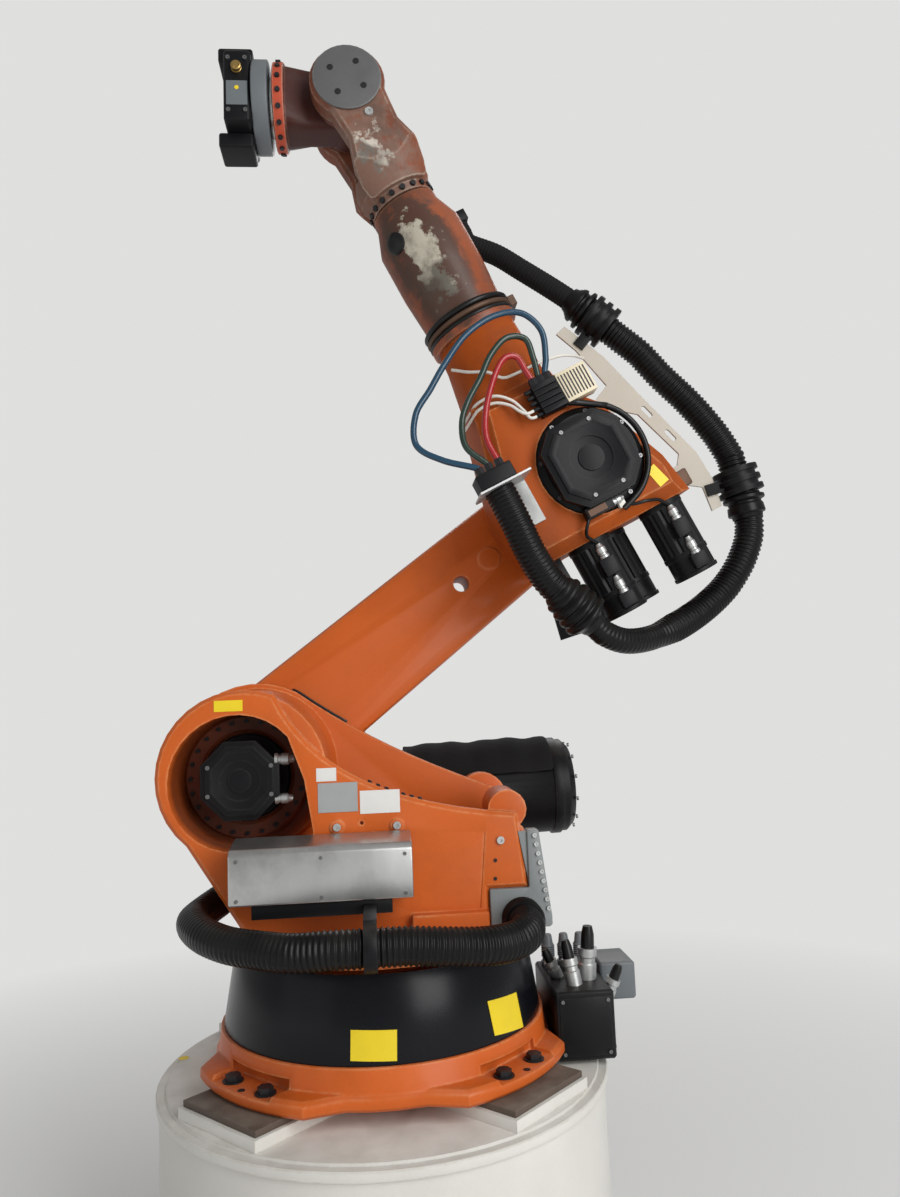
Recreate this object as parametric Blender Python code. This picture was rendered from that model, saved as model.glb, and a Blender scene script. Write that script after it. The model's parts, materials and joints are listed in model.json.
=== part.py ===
"""Six-axis industrial robot arm on a round steel pedestal.

Frame: metres, +Z up, +X the way the robot faces, +Y its left side.
The origin is on the floor under the turning axis of the column.
Every moving body hangs from an empty that stands on its joint's axis.
"""

from math import atan2, cos, hypot, pi, radians, sin

import bmesh
import bpy
from mathutils import Matrix, Vector
from mathutils.geometry import interpolate_bezier

# Clearances shared by all pieces
SEAT = 0.0003
BEARING_GAP = 0.0008
CUT_OVERRUN = 0.02
WELD_DEPTH = 0.006
SMOOTH_ANGLE = radians(38)
ROUND_STEPS = 32
SMALL_STEPS = 16

# Joint axes: the robot stands on the base plane, angles are those of the rest pose
BASE_PLANE = 0.613
SHOULDER_REACH = 0.350
SHOULDER_HEIGHT = 0.750
LINK_LENGTH = 1.250
ARM_LENGTH = 1.300
ARM_OFFSET = 0.055
FLANGE_REACH = 0.230
LINK_ANGLE = radians(139.4)
ARM_ANGLE = radians(63.6)
HAND_ANGLE = 0

# Pedestal
PEDESTAL_RADIUS = 0.585
PEDESTAL_LIP = 0.008
PEDESTAL_WALL = 0.012
PEDESTAL_FOOT_THICKNESS = 0.020
TOP_PLATE_THICKNESS = 0.028
TOP_PLATE_STEP = 0.006
TOP_PLATE_MARGIN = 0.022
BEDPLATE_SIDE = 0.270
BEDPLATE_PAD_MARGIN = 0.008
BEDPLATE_THICKNESS = 0.015
BEDPLATE_PAD_HEIGHT = 0.026
BEDPLATE_RADIUS = 0.398

# Base frame casting and its skirt
BASE_UNDERSIDE = 0.034
BASE_CORNER_RADIUS = 0.487
BASE_CORNER_SPREAD = radians(23)
BASE_WEB_RADIUS = 0.438
BASE_WEB_SPREAD = radians(33)
BASE_EDGE_HEIGHT = 0.074
BASE_BEVEL = 0.010
BASE_PAD_RADIUS = 0.452
BASE_PAD_LENGTH = 0.100
BASE_PAD_WIDTH = 0.210
BASE_PAD_DEPTH = 0.010
BASE_RING_RADIUS = 0.424
BASE_RING_HEIGHT = 0.126
BASE_RING_SPREAD = 0.016
SKIRT_BOTTOM_RADIUS = 0.417
SKIRT_TOP_RADIUS = 0.386
SKIRT_TOP = 0.316
SKIRT_WALL = 0.005
GEAR_DRUM_RADIUS = 0.345
GEAR_DRUM_TOP = 0.306

# Connection box behind the base
CONNECTION_LENGTH = 0.155
CONNECTION_WIDTH = 0.300
CONNECTION_LOW = 0.004
CONNECTION_HIGH = 0.175
CONNECTION_BEVEL = 0.006
SOCKET_PANEL_LENGTH = 0.100
SOCKET_PANEL_WIDTH = 0.150
SOCKET_PANEL_LOW = 0.100
SOCKET_PANEL_HIGH = 0.200
PLUG_COUNT = 3
PLUG_RADIUS = 0.021
PLUG_HEIGHT = 0.070
PLUG_SPACING = 0.046
PLUG_ROW_Y = -0.100
PLUG_STRIP_HEIGHT = 0.016

# Column casting
TURNTABLE_RADIUS = 0.372
TURNTABLE_LOW = 0.322
TURNTABLE_HIGH = 0.362
SPIGOT_RADIUS = 0.230
NEAR_FACE = 0.230
NEAR_WALL = 0.038
FAR_FACE = 0.115
FAR_WALL = 0.045
SHOULDER_RING_RADIUS = 0.215
SHOULDER_RING_SHIFT = 0.015
SHOULDER_BORE_RADIUS = 0.168
SHOULDER_BORE_FLOOR = 0.000
COLUMN_REAR = 0.372
COLUMN_REAR_TOP = 0.644
COLUMN_NOTCH_DEPTH = 0.100
COLUMN_NOTCH_HEIGHT = 0.460
COLUMN_FOOT_FRONT = 0.300
COLUMN_EDGE_BEVEL = 0.010
FAR_WALL_REAR_TOP = 0.668
FAR_RING_RADIUS = 0.237
COLUMN_REAR_ROUND = 0.020
KNUCKLE_BACK = 0.330
KNUCKLE_HEIGHT = 0.650
KNUCKLE_RADIUS = 0.050
KNUCKLE_FAR = 0.060
COLUMN_FLOOR = 0.052
LEDGE_LENGTH = 0.190
LEDGE_HEIGHT = 0.050
LEDGE_WIDTH = 0.030

# Shoulder motor in the ring
MOTOR_FLANGE_RADIUS = 0.115
MOTOR_FLANGE_THICKNESS = 0.024
MOTOR_BODY_RADIUS = 0.078
SHOULDER_MOTOR_LENGTH = 0.135
MOTOR_CAP_HALF = 0.100
MOTOR_CAP_CORNER = 0.040
MOTOR_CAP_LENGTH = 0.034
MOTOR_CAP_BEVEL = 0.008

# Sheet box on the column's side, and what carries it
SIDE_BOX_FRONT = 0.352
SIDE_BOX_LENGTH = 0.430
SIDE_BOX_LOW = 0.477
SIDE_BOX_HEIGHT = 0.128
SIDE_BOX_DEPTH = 0.112
SIDE_BOX_SLOPE = 0.014
SIDE_BOX_STANDOFF = 0.018
SIDE_BRACKET_INSET = 0.050
SIDE_BRACKET_DROP = 0.036
SIDE_BRACKET_DEPTH = 0.090

# Rear hose plate, boot and the hose loop around the column
REAR_PLATE_NEAR = 0.236
REAR_PLATE_THICKNESS = 0.050
REAR_PLATE_WIDTH = 0.030
REAR_PLATE_SPREAD = 0.055
BOOT_BACK = 0.350
BOOT_HEIGHT = 0.388
BOOT_RADIUS = 0.052
BOOT_LENGTH = 0.050
LOOP_HOSE_RADIUS = 0.043
LOOP_HOSE_POINTS = (
    (-0.350, 0.2866, 0.388), (-0.350, 0.316, 0.388), (-0.338, 0.374, 0.385), (-0.300, 0.425, 0.382),
    (-0.230, 0.470, 0.386), (-0.135, 0.492, 0.396), (-0.055, 0.500, 0.404), (0.025, 0.500, 0.404),
    (0.105, 0.500, 0.404), (0.200, 0.476, 0.397), (0.282, 0.430, 0.398), (0.350, 0.390, 0.402),
    (0.412, 0.325, 0.410), (0.452, 0.245, 0.418), (0.458, 0.160, 0.418), (0.4225, 0.080, 0.4358),
    (0.3850, 0.080, 0.4597),
)
STRAP_AT = 0.025
STRAP_WIDTH = 0.030
STRAP_THICKNESS = 0.006
STRAP_HOSE_Y = 0.500
STRAP_HOSE_Z = 0.404

# Counterbalance: trunnion, crank pin on the link, cylinder and rod
TRUNNION_BACK = 0.300
TRUNNION_HEIGHT = 0.650
COUNTER_Y = -0.335
CRANK_RADIUS = 0.150
CRANK_ANGLE = radians(229.4)
BARREL_RADIUS = 0.142
BARREL_FRONT = 0.255
BARREL_REAR = 0.300
BARREL_CHAMFER = 0.020
BARREL_BAND_WIDTH = 0.026
BARREL_BAND_HEIGHT = 0.006
BORE_DEPTH = 0.500
ROD_RADIUS = 0.024
ROD_TAIL = 0.215
TRUNNION_RADIUS = 0.030
TRUNNION_REACH = 0.040
ROD_EYE_RADIUS = 0.048
ROD_EYE_THICKNESS = 0.044
CRANK_PIN_RADIUS = 0.024
CHEEK_THICKNESS = 0.045
CHEEK_TOP_RADIUS = 0.072
CHEEK_FOOT = 0.100
BRACKET_SHELF = 0.050
FAR_CHEEK_GAP = 0.020

# Link arm
LINK_NEAR = -0.120
LINK_THICKNESS = 0.170
LINK_HUB_RADIUS = 0.200
LINK_END_RADIUS = 0.138
LINK_END_SHIFT = 0.022
LINK_BEVEL = 0.022
LINK_HUB_BOSS_RADIUS = 0.150
LINK_HOLE_AT = 0.812
LINK_HOLE_RADIUS = 0.024
LINK_BOSS_AT = 0.925
LINK_BOSS_RADIUS = 0.034
LINK_BOSS_HEIGHT = 0.006
LINK_WAIST_SHARES = (0.25, 0.64)

# Upper arm: housing at the elbow, then the extension tube
ELBOW_REAR = 0.190
ELBOW_FRONT = 0.280
ELBOW_HIGH = 0.245
ELBOW_LOW = 0.285
ELBOW_NEAR = 0.200
ELBOW_FAR = 0.110
ELBOW_BEVEL = 0.035
ELBOW_BACK_SHARES = ((0, 1), (0.31, 0.76), (0.70, 0.46), (0.85, 0.20), (1, 0.14))
ELBOW_EDGE_SHARES = ((1, 0.75), (0.90, 0.77), (0.585, 0.90), (0.36, 1), (0.19, 0.97), (0, 0.88))
NECK_START = 0.120
NECK_SHARES = ((0, 0), (0.36, 0.15), (0.65, 0.60), (0.85, 0.90), (1, 1))
NECK_SQUARENESS_SHARES = (7, 6, 3.4, 2.3, 2)
ELBOW_BOSS_RADIUS = 0.130
ELBOW_BORE_RADIUS = 0.150
ELBOW_BORE_DEPTH = 0.018
HOUSING_END = 0.500
HOUSING_END_RADIUS = 0.120
TUBE_BULGE_RADIUS = 0.130
TUBE_BULGE_SHARES = (0.45, 0.78)
TUBE_END_RADIUS = 0.102
TUBE_TO_WRIST = 0.355
TUBE_FLANGE_RADIUS = 0.134
TUBE_FLANGE_THICKNESS = 0.024

# Elbow motor and the three wrist motors at the arm's rear
ELBOW_MOTOR_RADIUS = 0.128
ELBOW_MOTOR_LENGTH = 0.040
ELBOW_CAP_HALF = 0.118
ELBOW_CAP_CORNER = 0.068
ELBOW_CAP_DROP = 0.010
ELBOW_CAP_LENGTH = 0.030
WRIST_MOTOR_RADIUS = 0.064
WRIST_MOTOR_LENGTH = 0.175
WRIST_MOTOR_CAP = 0.045
WRIST_MOTOR_FLANGE = 0.020
WRIST_MOTOR_LOWER = -0.090
WRIST_MOTOR_UPPER = 0.140
WRIST_MOTOR_NEAR = 0.105
WRIST_MOTOR_FAR = -0.035

# Wrist housing with its two lobes
WRIST_GAP = 0.006
WRIST_RING_RADIUS = 0.098
WRIST_RING_THICKNESS = 0.026
WRIST_ROOT_RADIUS = 0.112
WRIST_ROOT_FRONT = -0.235
LOBE_RADIUS = 0.108
LOBE_WAIST = 0.078
LOBE_WAIST_AT = -0.160
LOBE_ROOT = 0.100
LOBE_INNER = 0.072
LOBE_OUTER = 0.144
LOBE_BEVEL = 0.012
WRIST_COVER_RADIUS = 0.098
WRIST_COVER_THICKNESS = 0.007

# Hand, mounting flange and the tool changer's robot side
HAND_HUB_RADIUS = 0.098
HAND_HALF_WIDTH = 0.066
HAND_BOSS_RADIUS = 0.060
HAND_BODY_HALF = 0.090
HAND_BODY_FRONT = 0.182
HAND_FLANGE_RADIUS = 0.120
HAND_FLANGE_THICKNESS = 0.034
FLANGE_RADIUS = 0.082
FLANGE_THICKNESS = 0.012
CHANGER_PLATE_RADIUS = 0.128
CHANGER_PLATE_THICKNESS = 0.046
CHANGER_BODY_HALF = 0.110
CHANGER_BODY_LENGTH = 0.078
CHANGER_BEVEL = 0.008
MODULE_WIDTH = 0.110
MODULE_HEIGHT = 0.044
MODULE_LENGTH = 0.100
MODULE_BEVEL = 0.005

# Dress pack on the arm: sheet bracket and clamps
BRACKET_THICKNESS = 0.008
BRACKET_OUTLINE = (
    (-0.275, 0.349), (-0.190, 0.365), (-0.100, 0.362), (0.120, 0.300), (0.280, 0.258), (0.345, 0.230),
    (0.415, 0.199), (0.405, 0.165), (0.335, 0.193), (0.200, 0.222), (0.176, 0.170), (0.158, 0.060),
    (0.112, 0.060), (0.118, 0.215), (0.080, 0.262), (-0.080, 0.312), (-0.108, 0.290), (-0.115, 0.170),
    (-0.168, 0.170), (-0.172, 0.285), (-0.200, 0.325), (-0.275, 0.315),
)
BRACKET_SLOT_PLACES = ((-0.020, 0.318), (0.075, 0.290))
BRACKET_SLOT_LENGTH = 0.044
BRACKET_SLOT_RADIUS = 0.007
BRACKET_SLOT_TILT = radians(-15.5)
REAR_CLAMP_PLACE = (-0.236, 0, 0.430)
REAR_CLAMP_TILT = radians(-11)
FRONT_CLAMP_PLACE = (0.383, 0, 0.298)
FRONT_CLAMP_TILT = radians(23.6)
CLAMP_RADIUS = 0.066
CLAMP_GROOVE = 0.010
CLAMP_RIBS = 3
CLAMP_LENGTH = 0.075
CLAMP_CLEARANCE = 0.005
CLAMP_LUG_WIDTH = 0.034
CLAMP_LUG_THICKNESS = 0.008
CLAMP_LUG_REACH = 0.104

# Boot on the hose loop, the plate that carries it, and the plate at the hose's end
BOOT_START = (-0.265, 0.222, -0.258)
BOOT_END = (-0.395, 0.190, -0.208)
PACK_BOOT_RADIUS = 0.060
BOOT_SHOULDER = 0.018
BOOT_PLATE_Y = 0.105
BOOT_PLATE_THICKNESS = 0.008
BOOT_PLATE_OUTLINE = ((-0.172, -0.240), (-0.172, -0.182), (-0.330, -0.178), (-0.405, -0.205),
                      (-0.390, -0.290))
BOOT_POST_RADIUS = 0.018
END_PLATE_AT = 0.035
END_PLATE_THICKNESS = 0.006
END_PLATE_FOOT = 0.120
END_PLATE_LOW = -0.335
END_PLATE_HIGH = -0.188
END_PLATE_FOOT_LOW = -0.236
END_PLATE_REACH = 0.122
END_HOSE_Y = 0.262
END_HOSE_Z = -0.275
END_BLOCK_LENGTH = 0.044
END_BLOCK_MARGIN = 0.018
TERMINAL_START = 0.158
TERMINAL_LENGTH = 0.084
TERMINAL_LOW = -0.062
TERMINAL_SPLIT = 0.010
TERMINAL_HIGH = 0.100
TERMINAL_FOOT = 0.006
TERMINAL_HEIGHT = 0.050
HOSE_STOP_BACK = 0.080
HOSE_STOP_LENGTH = 0.034
HOSE_STOP_Y = -0.082
HOSE_STOP_Z = 0.092
HOSE_STOP_HALF = 0.033

# Dress pack hoses, as routes in the arm's own frame
PACK_HOSE_RADIUS = 0.042
FRONT_HOSE_RADIUS = 0.032
SMALL_HOSE_RADIUS = 0.0085
HOSE_RESOLUTION = 2
HOSE_STEP_SHARE = 0.9
HOSE_LEAST_STEP = 0.030
PACK_LOOP_POINTS = (
    (-0.395284, 0.189930, -0.207891), (-0.4230, 0.1831, -0.1972), (-0.470, 0.160, -0.152),
    (-0.500, 0.120, -0.078),
    (-0.512, 0.075, 0.015), (-0.512, 0.038, 0.100), (-0.502, 0.012, 0.180), (-0.482, 0, 0.250),
    (-0.442, 0, 0.320), (-0.388, 0, 0.378), (-0.3194, 0, 0.4138), (-0.2802, 0, 0.4214),
    (-0.1918, 0, 0.4386), (-0.1526, 0, 0.4462), (-0.066, 0, 0.440), (0.040, 0, 0.418),
    (0.150, 0, 0.383), (0.240, 0, 0.3599), (0.3052, 0, 0.3320), (0.348365, 0, 0.313132),
)
PACK_LOWER_POINTS = (
    (0.0347, 0.262, -0.275), (0.0100, 0.262, -0.275), (-0.070, 0.262, -0.278), (-0.150, 0.250, -0.280),
    (-0.2373, 0.2288, -0.2687), (-0.264720, 0.222069, -0.258108),
)
FRONT_HOSE_POINTS = (
    (0.417635, 0, 0.282868), (0.4610, 0, 0.2639), (0.540, -0.018, 0.232), (0.640, -0.046, 0.190),
    (0.730, -0.070, 0.150), (0.8050, -0.082, 0.092), (0.8350, -0.082, 0.092), (0.8647, -0.082, 0.092),
)
BLUE_HOSE_POINTS = (
    (0.0856, 0.285, -0.302), (0.105, 0.285, -0.302), (0.170, 0.270, -0.370), (0.240, 0.252, -0.408),
    (0.315, 0.243, -0.369), (0.360, 0.240, -0.300), (0.405, 0.238, -0.231), (0.450, 0.237, -0.142),
    (0.462, 0.236, -0.050), (0.436, 0.235, 0.020), (0.370, 0.235, 0.045), (0.300, 0.235, 0.020),
    (0.262, 0.235, -0.004), (0.2423, 0.235, -0.004),
)
GREEN_HOSE_POINTS = (
    (0.0856, 0.285, -0.275), (0.105, 0.285, -0.275), (0.170, 0.278, -0.300), (0.236, 0.262, -0.275),
    (0.282, 0.255, -0.230), (0.323, 0.250, -0.171), (0.368, 0.245, -0.113), (0.392, 0.240, -0.051),
    (0.368, 0.236, -0.006), (0.312, 0.235, -0.012), (0.262, 0.235, -0.025), (0.2423, 0.235, -0.025),
)
RED_HOSE_POINTS = (
    (0.0856, 0.285, -0.246), (0.105, 0.285, -0.246), (0.170, 0.275, -0.240), (0.240, 0.262, -0.200),
    (0.310, 0.250, -0.135), (0.344, 0.242, -0.085), (0.334, 0.236, -0.052), (0.290, 0.235, -0.048),
    (0.262, 0.235, -0.046), (0.2423, 0.235, -0.046),
)


def clear_scene():
    """Empties the scene of whatever stands in it."""
    for old in list(bpy.data.objects):
        bpy.data.objects.remove(old, do_unlink=True)


def paint(name, colour, roughness, metallic):
    """Makes one plain finish."""
    finish = bpy.data.materials.new(name)
    finish.use_nodes = True
    shader = finish.node_tree.nodes["Principled BSDF"]
    shader.inputs["Base Color"].default_value = (*colour, 1)
    shader.inputs["Roughness"].default_value = roughness
    shader.inputs["Metallic"].default_value = metallic
    finish.diffuse_color = (*colour, 1)
    return finish


def joint_empty(name, parent, place, pitch):
    """Stands an empty on a joint's axis, turned about Y by the pitch."""
    empty = bpy.data.objects.new(name, None)
    bpy.context.collection.objects.link(empty)
    empty.parent = parent
    empty.location = place
    empty.rotation_euler = (0, pitch, 0)
    return empty


def stand(name, mesh, finish, parent):
    """Links a finished mesh as one named piece under its joint's empty."""
    piece = bpy.data.objects.new(name, mesh)
    bpy.context.collection.objects.link(piece)
    piece.parent = parent
    mesh.materials.append(finish)
    mesh.shade_smooth()
    mesh.set_sharp_from_angle(angle=SMOOTH_ANGLE)
    return piece


def to_mesh(bm, name="shape"):
    """Turns a bmesh into a mesh with its faces pointing out."""
    bmesh.ops.recalc_face_normals(bm, faces=bm.faces)
    mesh = bpy.data.meshes.new(name)
    bm.to_mesh(mesh)
    bm.free()
    return mesh


def helper(mesh, parent):
    """A shape that only joins or cuts another, and is no piece itself."""
    tool = bpy.data.objects.new("helper_shape", mesh)
    bpy.context.collection.objects.link(tool)
    tool.parent = parent
    tool.hide_render = True
    tool.display_type = "WIRE"
    return tool


def combine(piece, mesh, operation):
    """Joins a mesh to a piece, or cuts it away, with a Boolean modifier."""
    modifier = piece.modifiers.new(operation.lower(), "BOOLEAN")
    modifier.operation = operation
    modifier.solver = "EXACT"
    modifier.object = helper(mesh, piece.parent)


def join(piece, mesh):
    combine(piece, mesh, "UNION")


def cut(piece, mesh):
    combine(piece, mesh, "DIFFERENCE")


def arc(centre, radius, start, end, steps):
    """Points on a circle in the X-Z plane, angles in radians from +X towards +Z."""
    turns = [start + (end - start) * i / steps for i in range(steps + 1)]
    return [(centre[0] + radius * cos(turn), centre[1] + radius * sin(turn)) for turn in turns]


def swoop(start, pull, end, steps):
    """A smooth concave edge from start to end, drawn towards the pull point."""
    def at(t):
        a, b, c = (1 - t) ** 2, 2 * t * (1 - t), t ** 2
        return (a * start[0] + b * pull[0] + c * end[0], a * start[1] + b * pull[1] + c * end[1])
    return [at(i / steps) for i in range(steps + 1)]


def prism(outline, low, high, bevel=0, bevel_steps=2):
    """Extrudes an X-Z outline from y=low to y=high and eases its cap edges."""
    bm = bmesh.new()
    verts = [bm.verts.new((x, low, z)) for x, z in outline]
    face = bm.faces.new(verts)
    grown = bmesh.ops.extrude_face_region(bm, geom=[face])
    moved = [v for v in grown["geom"] if isinstance(v, bmesh.types.BMVert)]
    bmesh.ops.translate(bm, verts=moved, vec=(0, high - low, 0))
    if bevel:
        ease_caps(bm, 1, low, high, bevel, bevel_steps)
    return to_mesh(bm)


def ease_caps(bm, axis, low, high, bevel, steps):
    """Bevels the edges that lie in either of two planes across an axis."""
    slack = abs(high - low) / 1000
    def on_cap(vert):
        return abs(vert.co[axis] - low) < slack or abs(vert.co[axis] - high) < slack
    edges = [e for e in bm.edges
             if on_cap(e.verts[0]) and on_cap(e.verts[1])
             and abs(e.verts[0].co[axis] - e.verts[1].co[axis]) < slack]
    bmesh.ops.bevel(bm, geom=edges, offset=bevel, segments=steps, profile=0.5, affect="EDGES")


def plan_prism(outline, low, high, bevel=0, bevel_steps=2):
    """Extrudes an X-Y outline from z=low to z=high."""
    bm = bmesh.new()
    verts = [bm.verts.new((x, y, low)) for x, y in outline]
    face = bm.faces.new(verts)
    grown = bmesh.ops.extrude_face_region(bm, geom=[face])
    moved = [v for v in grown["geom"] if isinstance(v, bmesh.types.BMVert)]
    bmesh.ops.translate(bm, verts=moved, vec=(0, 0, high - low))
    if bevel:
        ease_caps(bm, 2, low, high, bevel, bevel_steps)
    return to_mesh(bm)


def block(low, high, bevel=0, bevel_steps=1):
    """A box between two corners, with every edge eased."""
    bm = bmesh.new()
    bmesh.ops.create_cube(bm, size=1)
    span = Vector(high) - Vector(low)
    bmesh.ops.scale(bm, verts=bm.verts, vec=span)
    bmesh.ops.translate(bm, verts=bm.verts, vec=Vector(low) + span / 2)
    if bevel:
        bmesh.ops.bevel(bm, geom=bm.edges[:], offset=bevel, segments=bevel_steps, profile=0.5,
                        affect="EDGES")
    return to_mesh(bm)


def turned(profile, axis="Z", centre=(0, 0, 0), steps=ROUND_STEPS, phase=0):
    """Turns (radius, height) points about an axis; two points on the axis close a solid."""
    bm = bmesh.new()
    rings = []
    for radius, height in profile:
        count = steps if radius > 0 else 1
        ring = []
        for i in range(count):
            turn = phase + 2 * pi * i / steps
            side, up = radius * cos(turn), radius * sin(turn)
            place = {"X": (height, side, up), "Y": (side, height, up), "Z": (side, up, height)}[axis]
            ring.append(bm.verts.new(Vector(place) + Vector(centre)))
        rings.append(ring)
    pairs = list(zip(rings, rings[1:]))
    if profile[0][0] > 0:
        pairs.append((rings[-1], rings[0]))
    for first, second in pairs:
        for i in range(steps):
            corners = [first[i % len(first)], first[(i + 1) % len(first)],
                       second[(i + 1) % len(second)], second[i % len(second)]]
            corners = [c for k, c in enumerate(corners) if c not in corners[:k]]
            bm.faces.new(corners)
    return to_mesh(bm)


def disc(radius, low, high, axis="Y", centre=(0, 0, 0), steps=ROUND_STEPS, bevel=0, phase=0):
    """A plain round solid, its rim eased at both ends."""
    profile = [(0, low), (radius - bevel, low), (radius, low + bevel),
               (radius, high - bevel), (radius - bevel, high), (0, high)]
    if not bevel:
        profile = [(0, low), (radius, low), (radius, high), (0, high)]
    return turned(profile, axis, centre, steps, phase)


def loft(sections, steps=32):
    """Skins rounded-box sections along X: (x, y, z, half width, half height, squareness)."""
    bm = bmesh.new()
    rings = []
    for x, y, z, half_y, half_z, square in sections:
        ring = []
        for i in range(steps):
            turn = 2 * pi * (i + 0.5) / steps
            side, up = cos(turn), sin(turn)
            side = abs(side) ** (2 / square) * (1 if side > 0 else -1)
            up = abs(up) ** (2 / square) * (1 if up > 0 else -1)
            ring.append(bm.verts.new((x, y + half_y * side, z + half_z * up)))
        rings.append(ring)
    for first, second in zip(rings, rings[1:]):
        for i in range(steps):
            j = (i + 1) % steps
            bm.faces.new((first[i], first[j], second[j], second[i]))
    bm.faces.new(rings[0])
    bm.faces.new(rings[-1][::-1])
    return to_mesh(bm)


def smooth_route(points, radius):
    """Even points on a smooth curve through a route's own points; both ends run straight."""
    places = [Vector(p) for p in points]
    fine = []
    for i in range(1, len(places) - 2):
        start, end = places[i], places[i + 1]
        lead_in = start + (end - places[i - 1]) / 6
        lead_out = end - (places[i + 2] - start) / 6
        fine += interpolate_bezier(start, lead_in, lead_out, end, 12)[:-1]
    step = max(2 * radius * HOSE_STEP_SHARE, HOSE_LEAST_STEP)
    route = [places[0], places[1]]
    for place in fine:
        if (place - route[-1]).length >= step and (place - places[-2]).length >= step / 2:
            route.append(place)
    return route + [places[-2], places[-1]]


def aimed(mesh, start, end):
    """Moves a mesh to the start and turns it so that its X runs towards the end."""
    turn = (Vector(end) - Vector(start)).to_track_quat("X", "Z")
    mesh.transform(Matrix.Translation(start) @ turn.to_matrix().to_4x4())
    return mesh


def chamfered_square(centre, half, corner):
    """Eight-sided outline: a square with its corners cut off."""
    short = half - corner
    turns = ((half, -short), (half, short), (short, half), (-short, half),
             (-half, short), (-half, -short), (-short, -half), (short, -half))
    return [(centre[0] + x, centre[1] + z) for x, z in turns]


def hose(name, points, radius, finish, parent):
    """A round hose along a smooth route, closed at both ends."""
    route = smooth_route(points, radius)
    curve = bpy.data.curves.new(name, "CURVE")
    curve.dimensions = "3D"
    curve.bevel_depth = radius
    curve.bevel_resolution = HOSE_RESOLUTION
    curve.use_fill_caps = True
    spline = curve.splines.new("POLY")
    spline.points.add(len(route) - 1)
    for point, place in zip(spline.points, route):
        point.co = (*place, 1)
    curve.materials.append(finish)
    piece = bpy.data.objects.new(name, curve)
    bpy.context.collection.objects.link(piece)
    piece.parent = parent
    return piece


def diagonal(quarter):
    """Direction of one of the four corner diagonals."""
    turn = pi / 4 + quarter * pi / 2
    return cos(turn), sin(turn)


def square_on_diagonal(quarter, radius, side):
    """Corners of a square whose middle is on a diagonal, turned with it."""
    along, across = diagonal(quarter)
    half = side / 2
    corners = ((radius - half, -half), (radius + half, -half), (radius + half, half), (radius - half, half))
    return [(a * along - b * across, a * across + b * along) for a, b in corners]


def build_pedestal(floor, steel, bare_steel):
    """Floor plate, pipe shell, stepped top plate with four pads, and the bedplates on them."""
    bed_top = BASE_PLANE + BASE_UNDERSIDE - SEAT
    rim_top = bed_top - BEDPLATE_THICKNESS - SEAT - BEDPLATE_PAD_HEIGHT
    shelf = rim_top - TOP_PLATE_STEP
    under = rim_top - TOP_PLATE_THICKNESS
    shell_radius = PEDESTAL_RADIUS - PEDESTAL_LIP
    foot = disc(PEDESTAL_RADIUS, 0, PEDESTAL_FOOT_THICKNESS, "Z")
    stand("pedestal_floor_plate", foot, steel, floor)
    shell_low, shell_high = PEDESTAL_FOOT_THICKNESS + SEAT, under - SEAT
    shell = [(shell_radius - PEDESTAL_WALL, shell_low), (shell_radius, shell_low),
             (shell_radius, shell_high), (shell_radius - PEDESTAL_WALL, shell_high)]
    stand("pedestal_shell", turned(shell, steps=2 * ROUND_STEPS), steel, floor)
    step_radius = PEDESTAL_RADIUS - TOP_PLATE_MARGIN
    plate = [(0, under), (PEDESTAL_RADIUS, under), (PEDESTAL_RADIUS, shelf - TOP_PLATE_STEP / 2),
             (PEDESTAL_RADIUS - TOP_PLATE_STEP / 2, shelf), (step_radius, shelf),
             (step_radius - TOP_PLATE_STEP / 2, rim_top), (0, rim_top)]
    top = stand("pedestal_top_plate", turned(plate, steps=2 * ROUND_STEPS), steel, floor)
    for quarter in range(4):
        pad = square_on_diagonal(quarter, BEDPLATE_RADIUS, BEDPLATE_SIDE + 2 * BEDPLATE_PAD_MARGIN)
        join(top, plan_prism(pad, rim_top - WELD_DEPTH, rim_top + BEDPLATE_PAD_HEIGHT))
    for quarter, corner in enumerate(("front_left", "rear_left", "rear_right", "front_right")):
        square = square_on_diagonal(quarter, BEDPLATE_RADIUS, BEDPLATE_SIDE)
        low = rim_top + BEDPLATE_PAD_HEIGHT + SEAT
        stand(f"bedplate_{corner}", plan_prism(square, low, bed_top), bare_steel, floor)


def base_outline(margin=0):
    """Plan of the base: four broad corners on the diagonals, joined by webs along the ring."""
    points = []
    corner, web = BASE_CORNER_RADIUS + margin, BASE_WEB_RADIUS + margin
    for quarter in range(4):
        middle = pi / 4 + quarter * pi / 2
        points += arc((0, 0), corner, middle - BASE_CORNER_SPREAD, middle + BASE_CORNER_SPREAD, 8)
        points += arc((0, 0), web, middle + BASE_WEB_SPREAD, middle + pi / 2 - BASE_WEB_SPREAD, 3)
    return points


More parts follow.
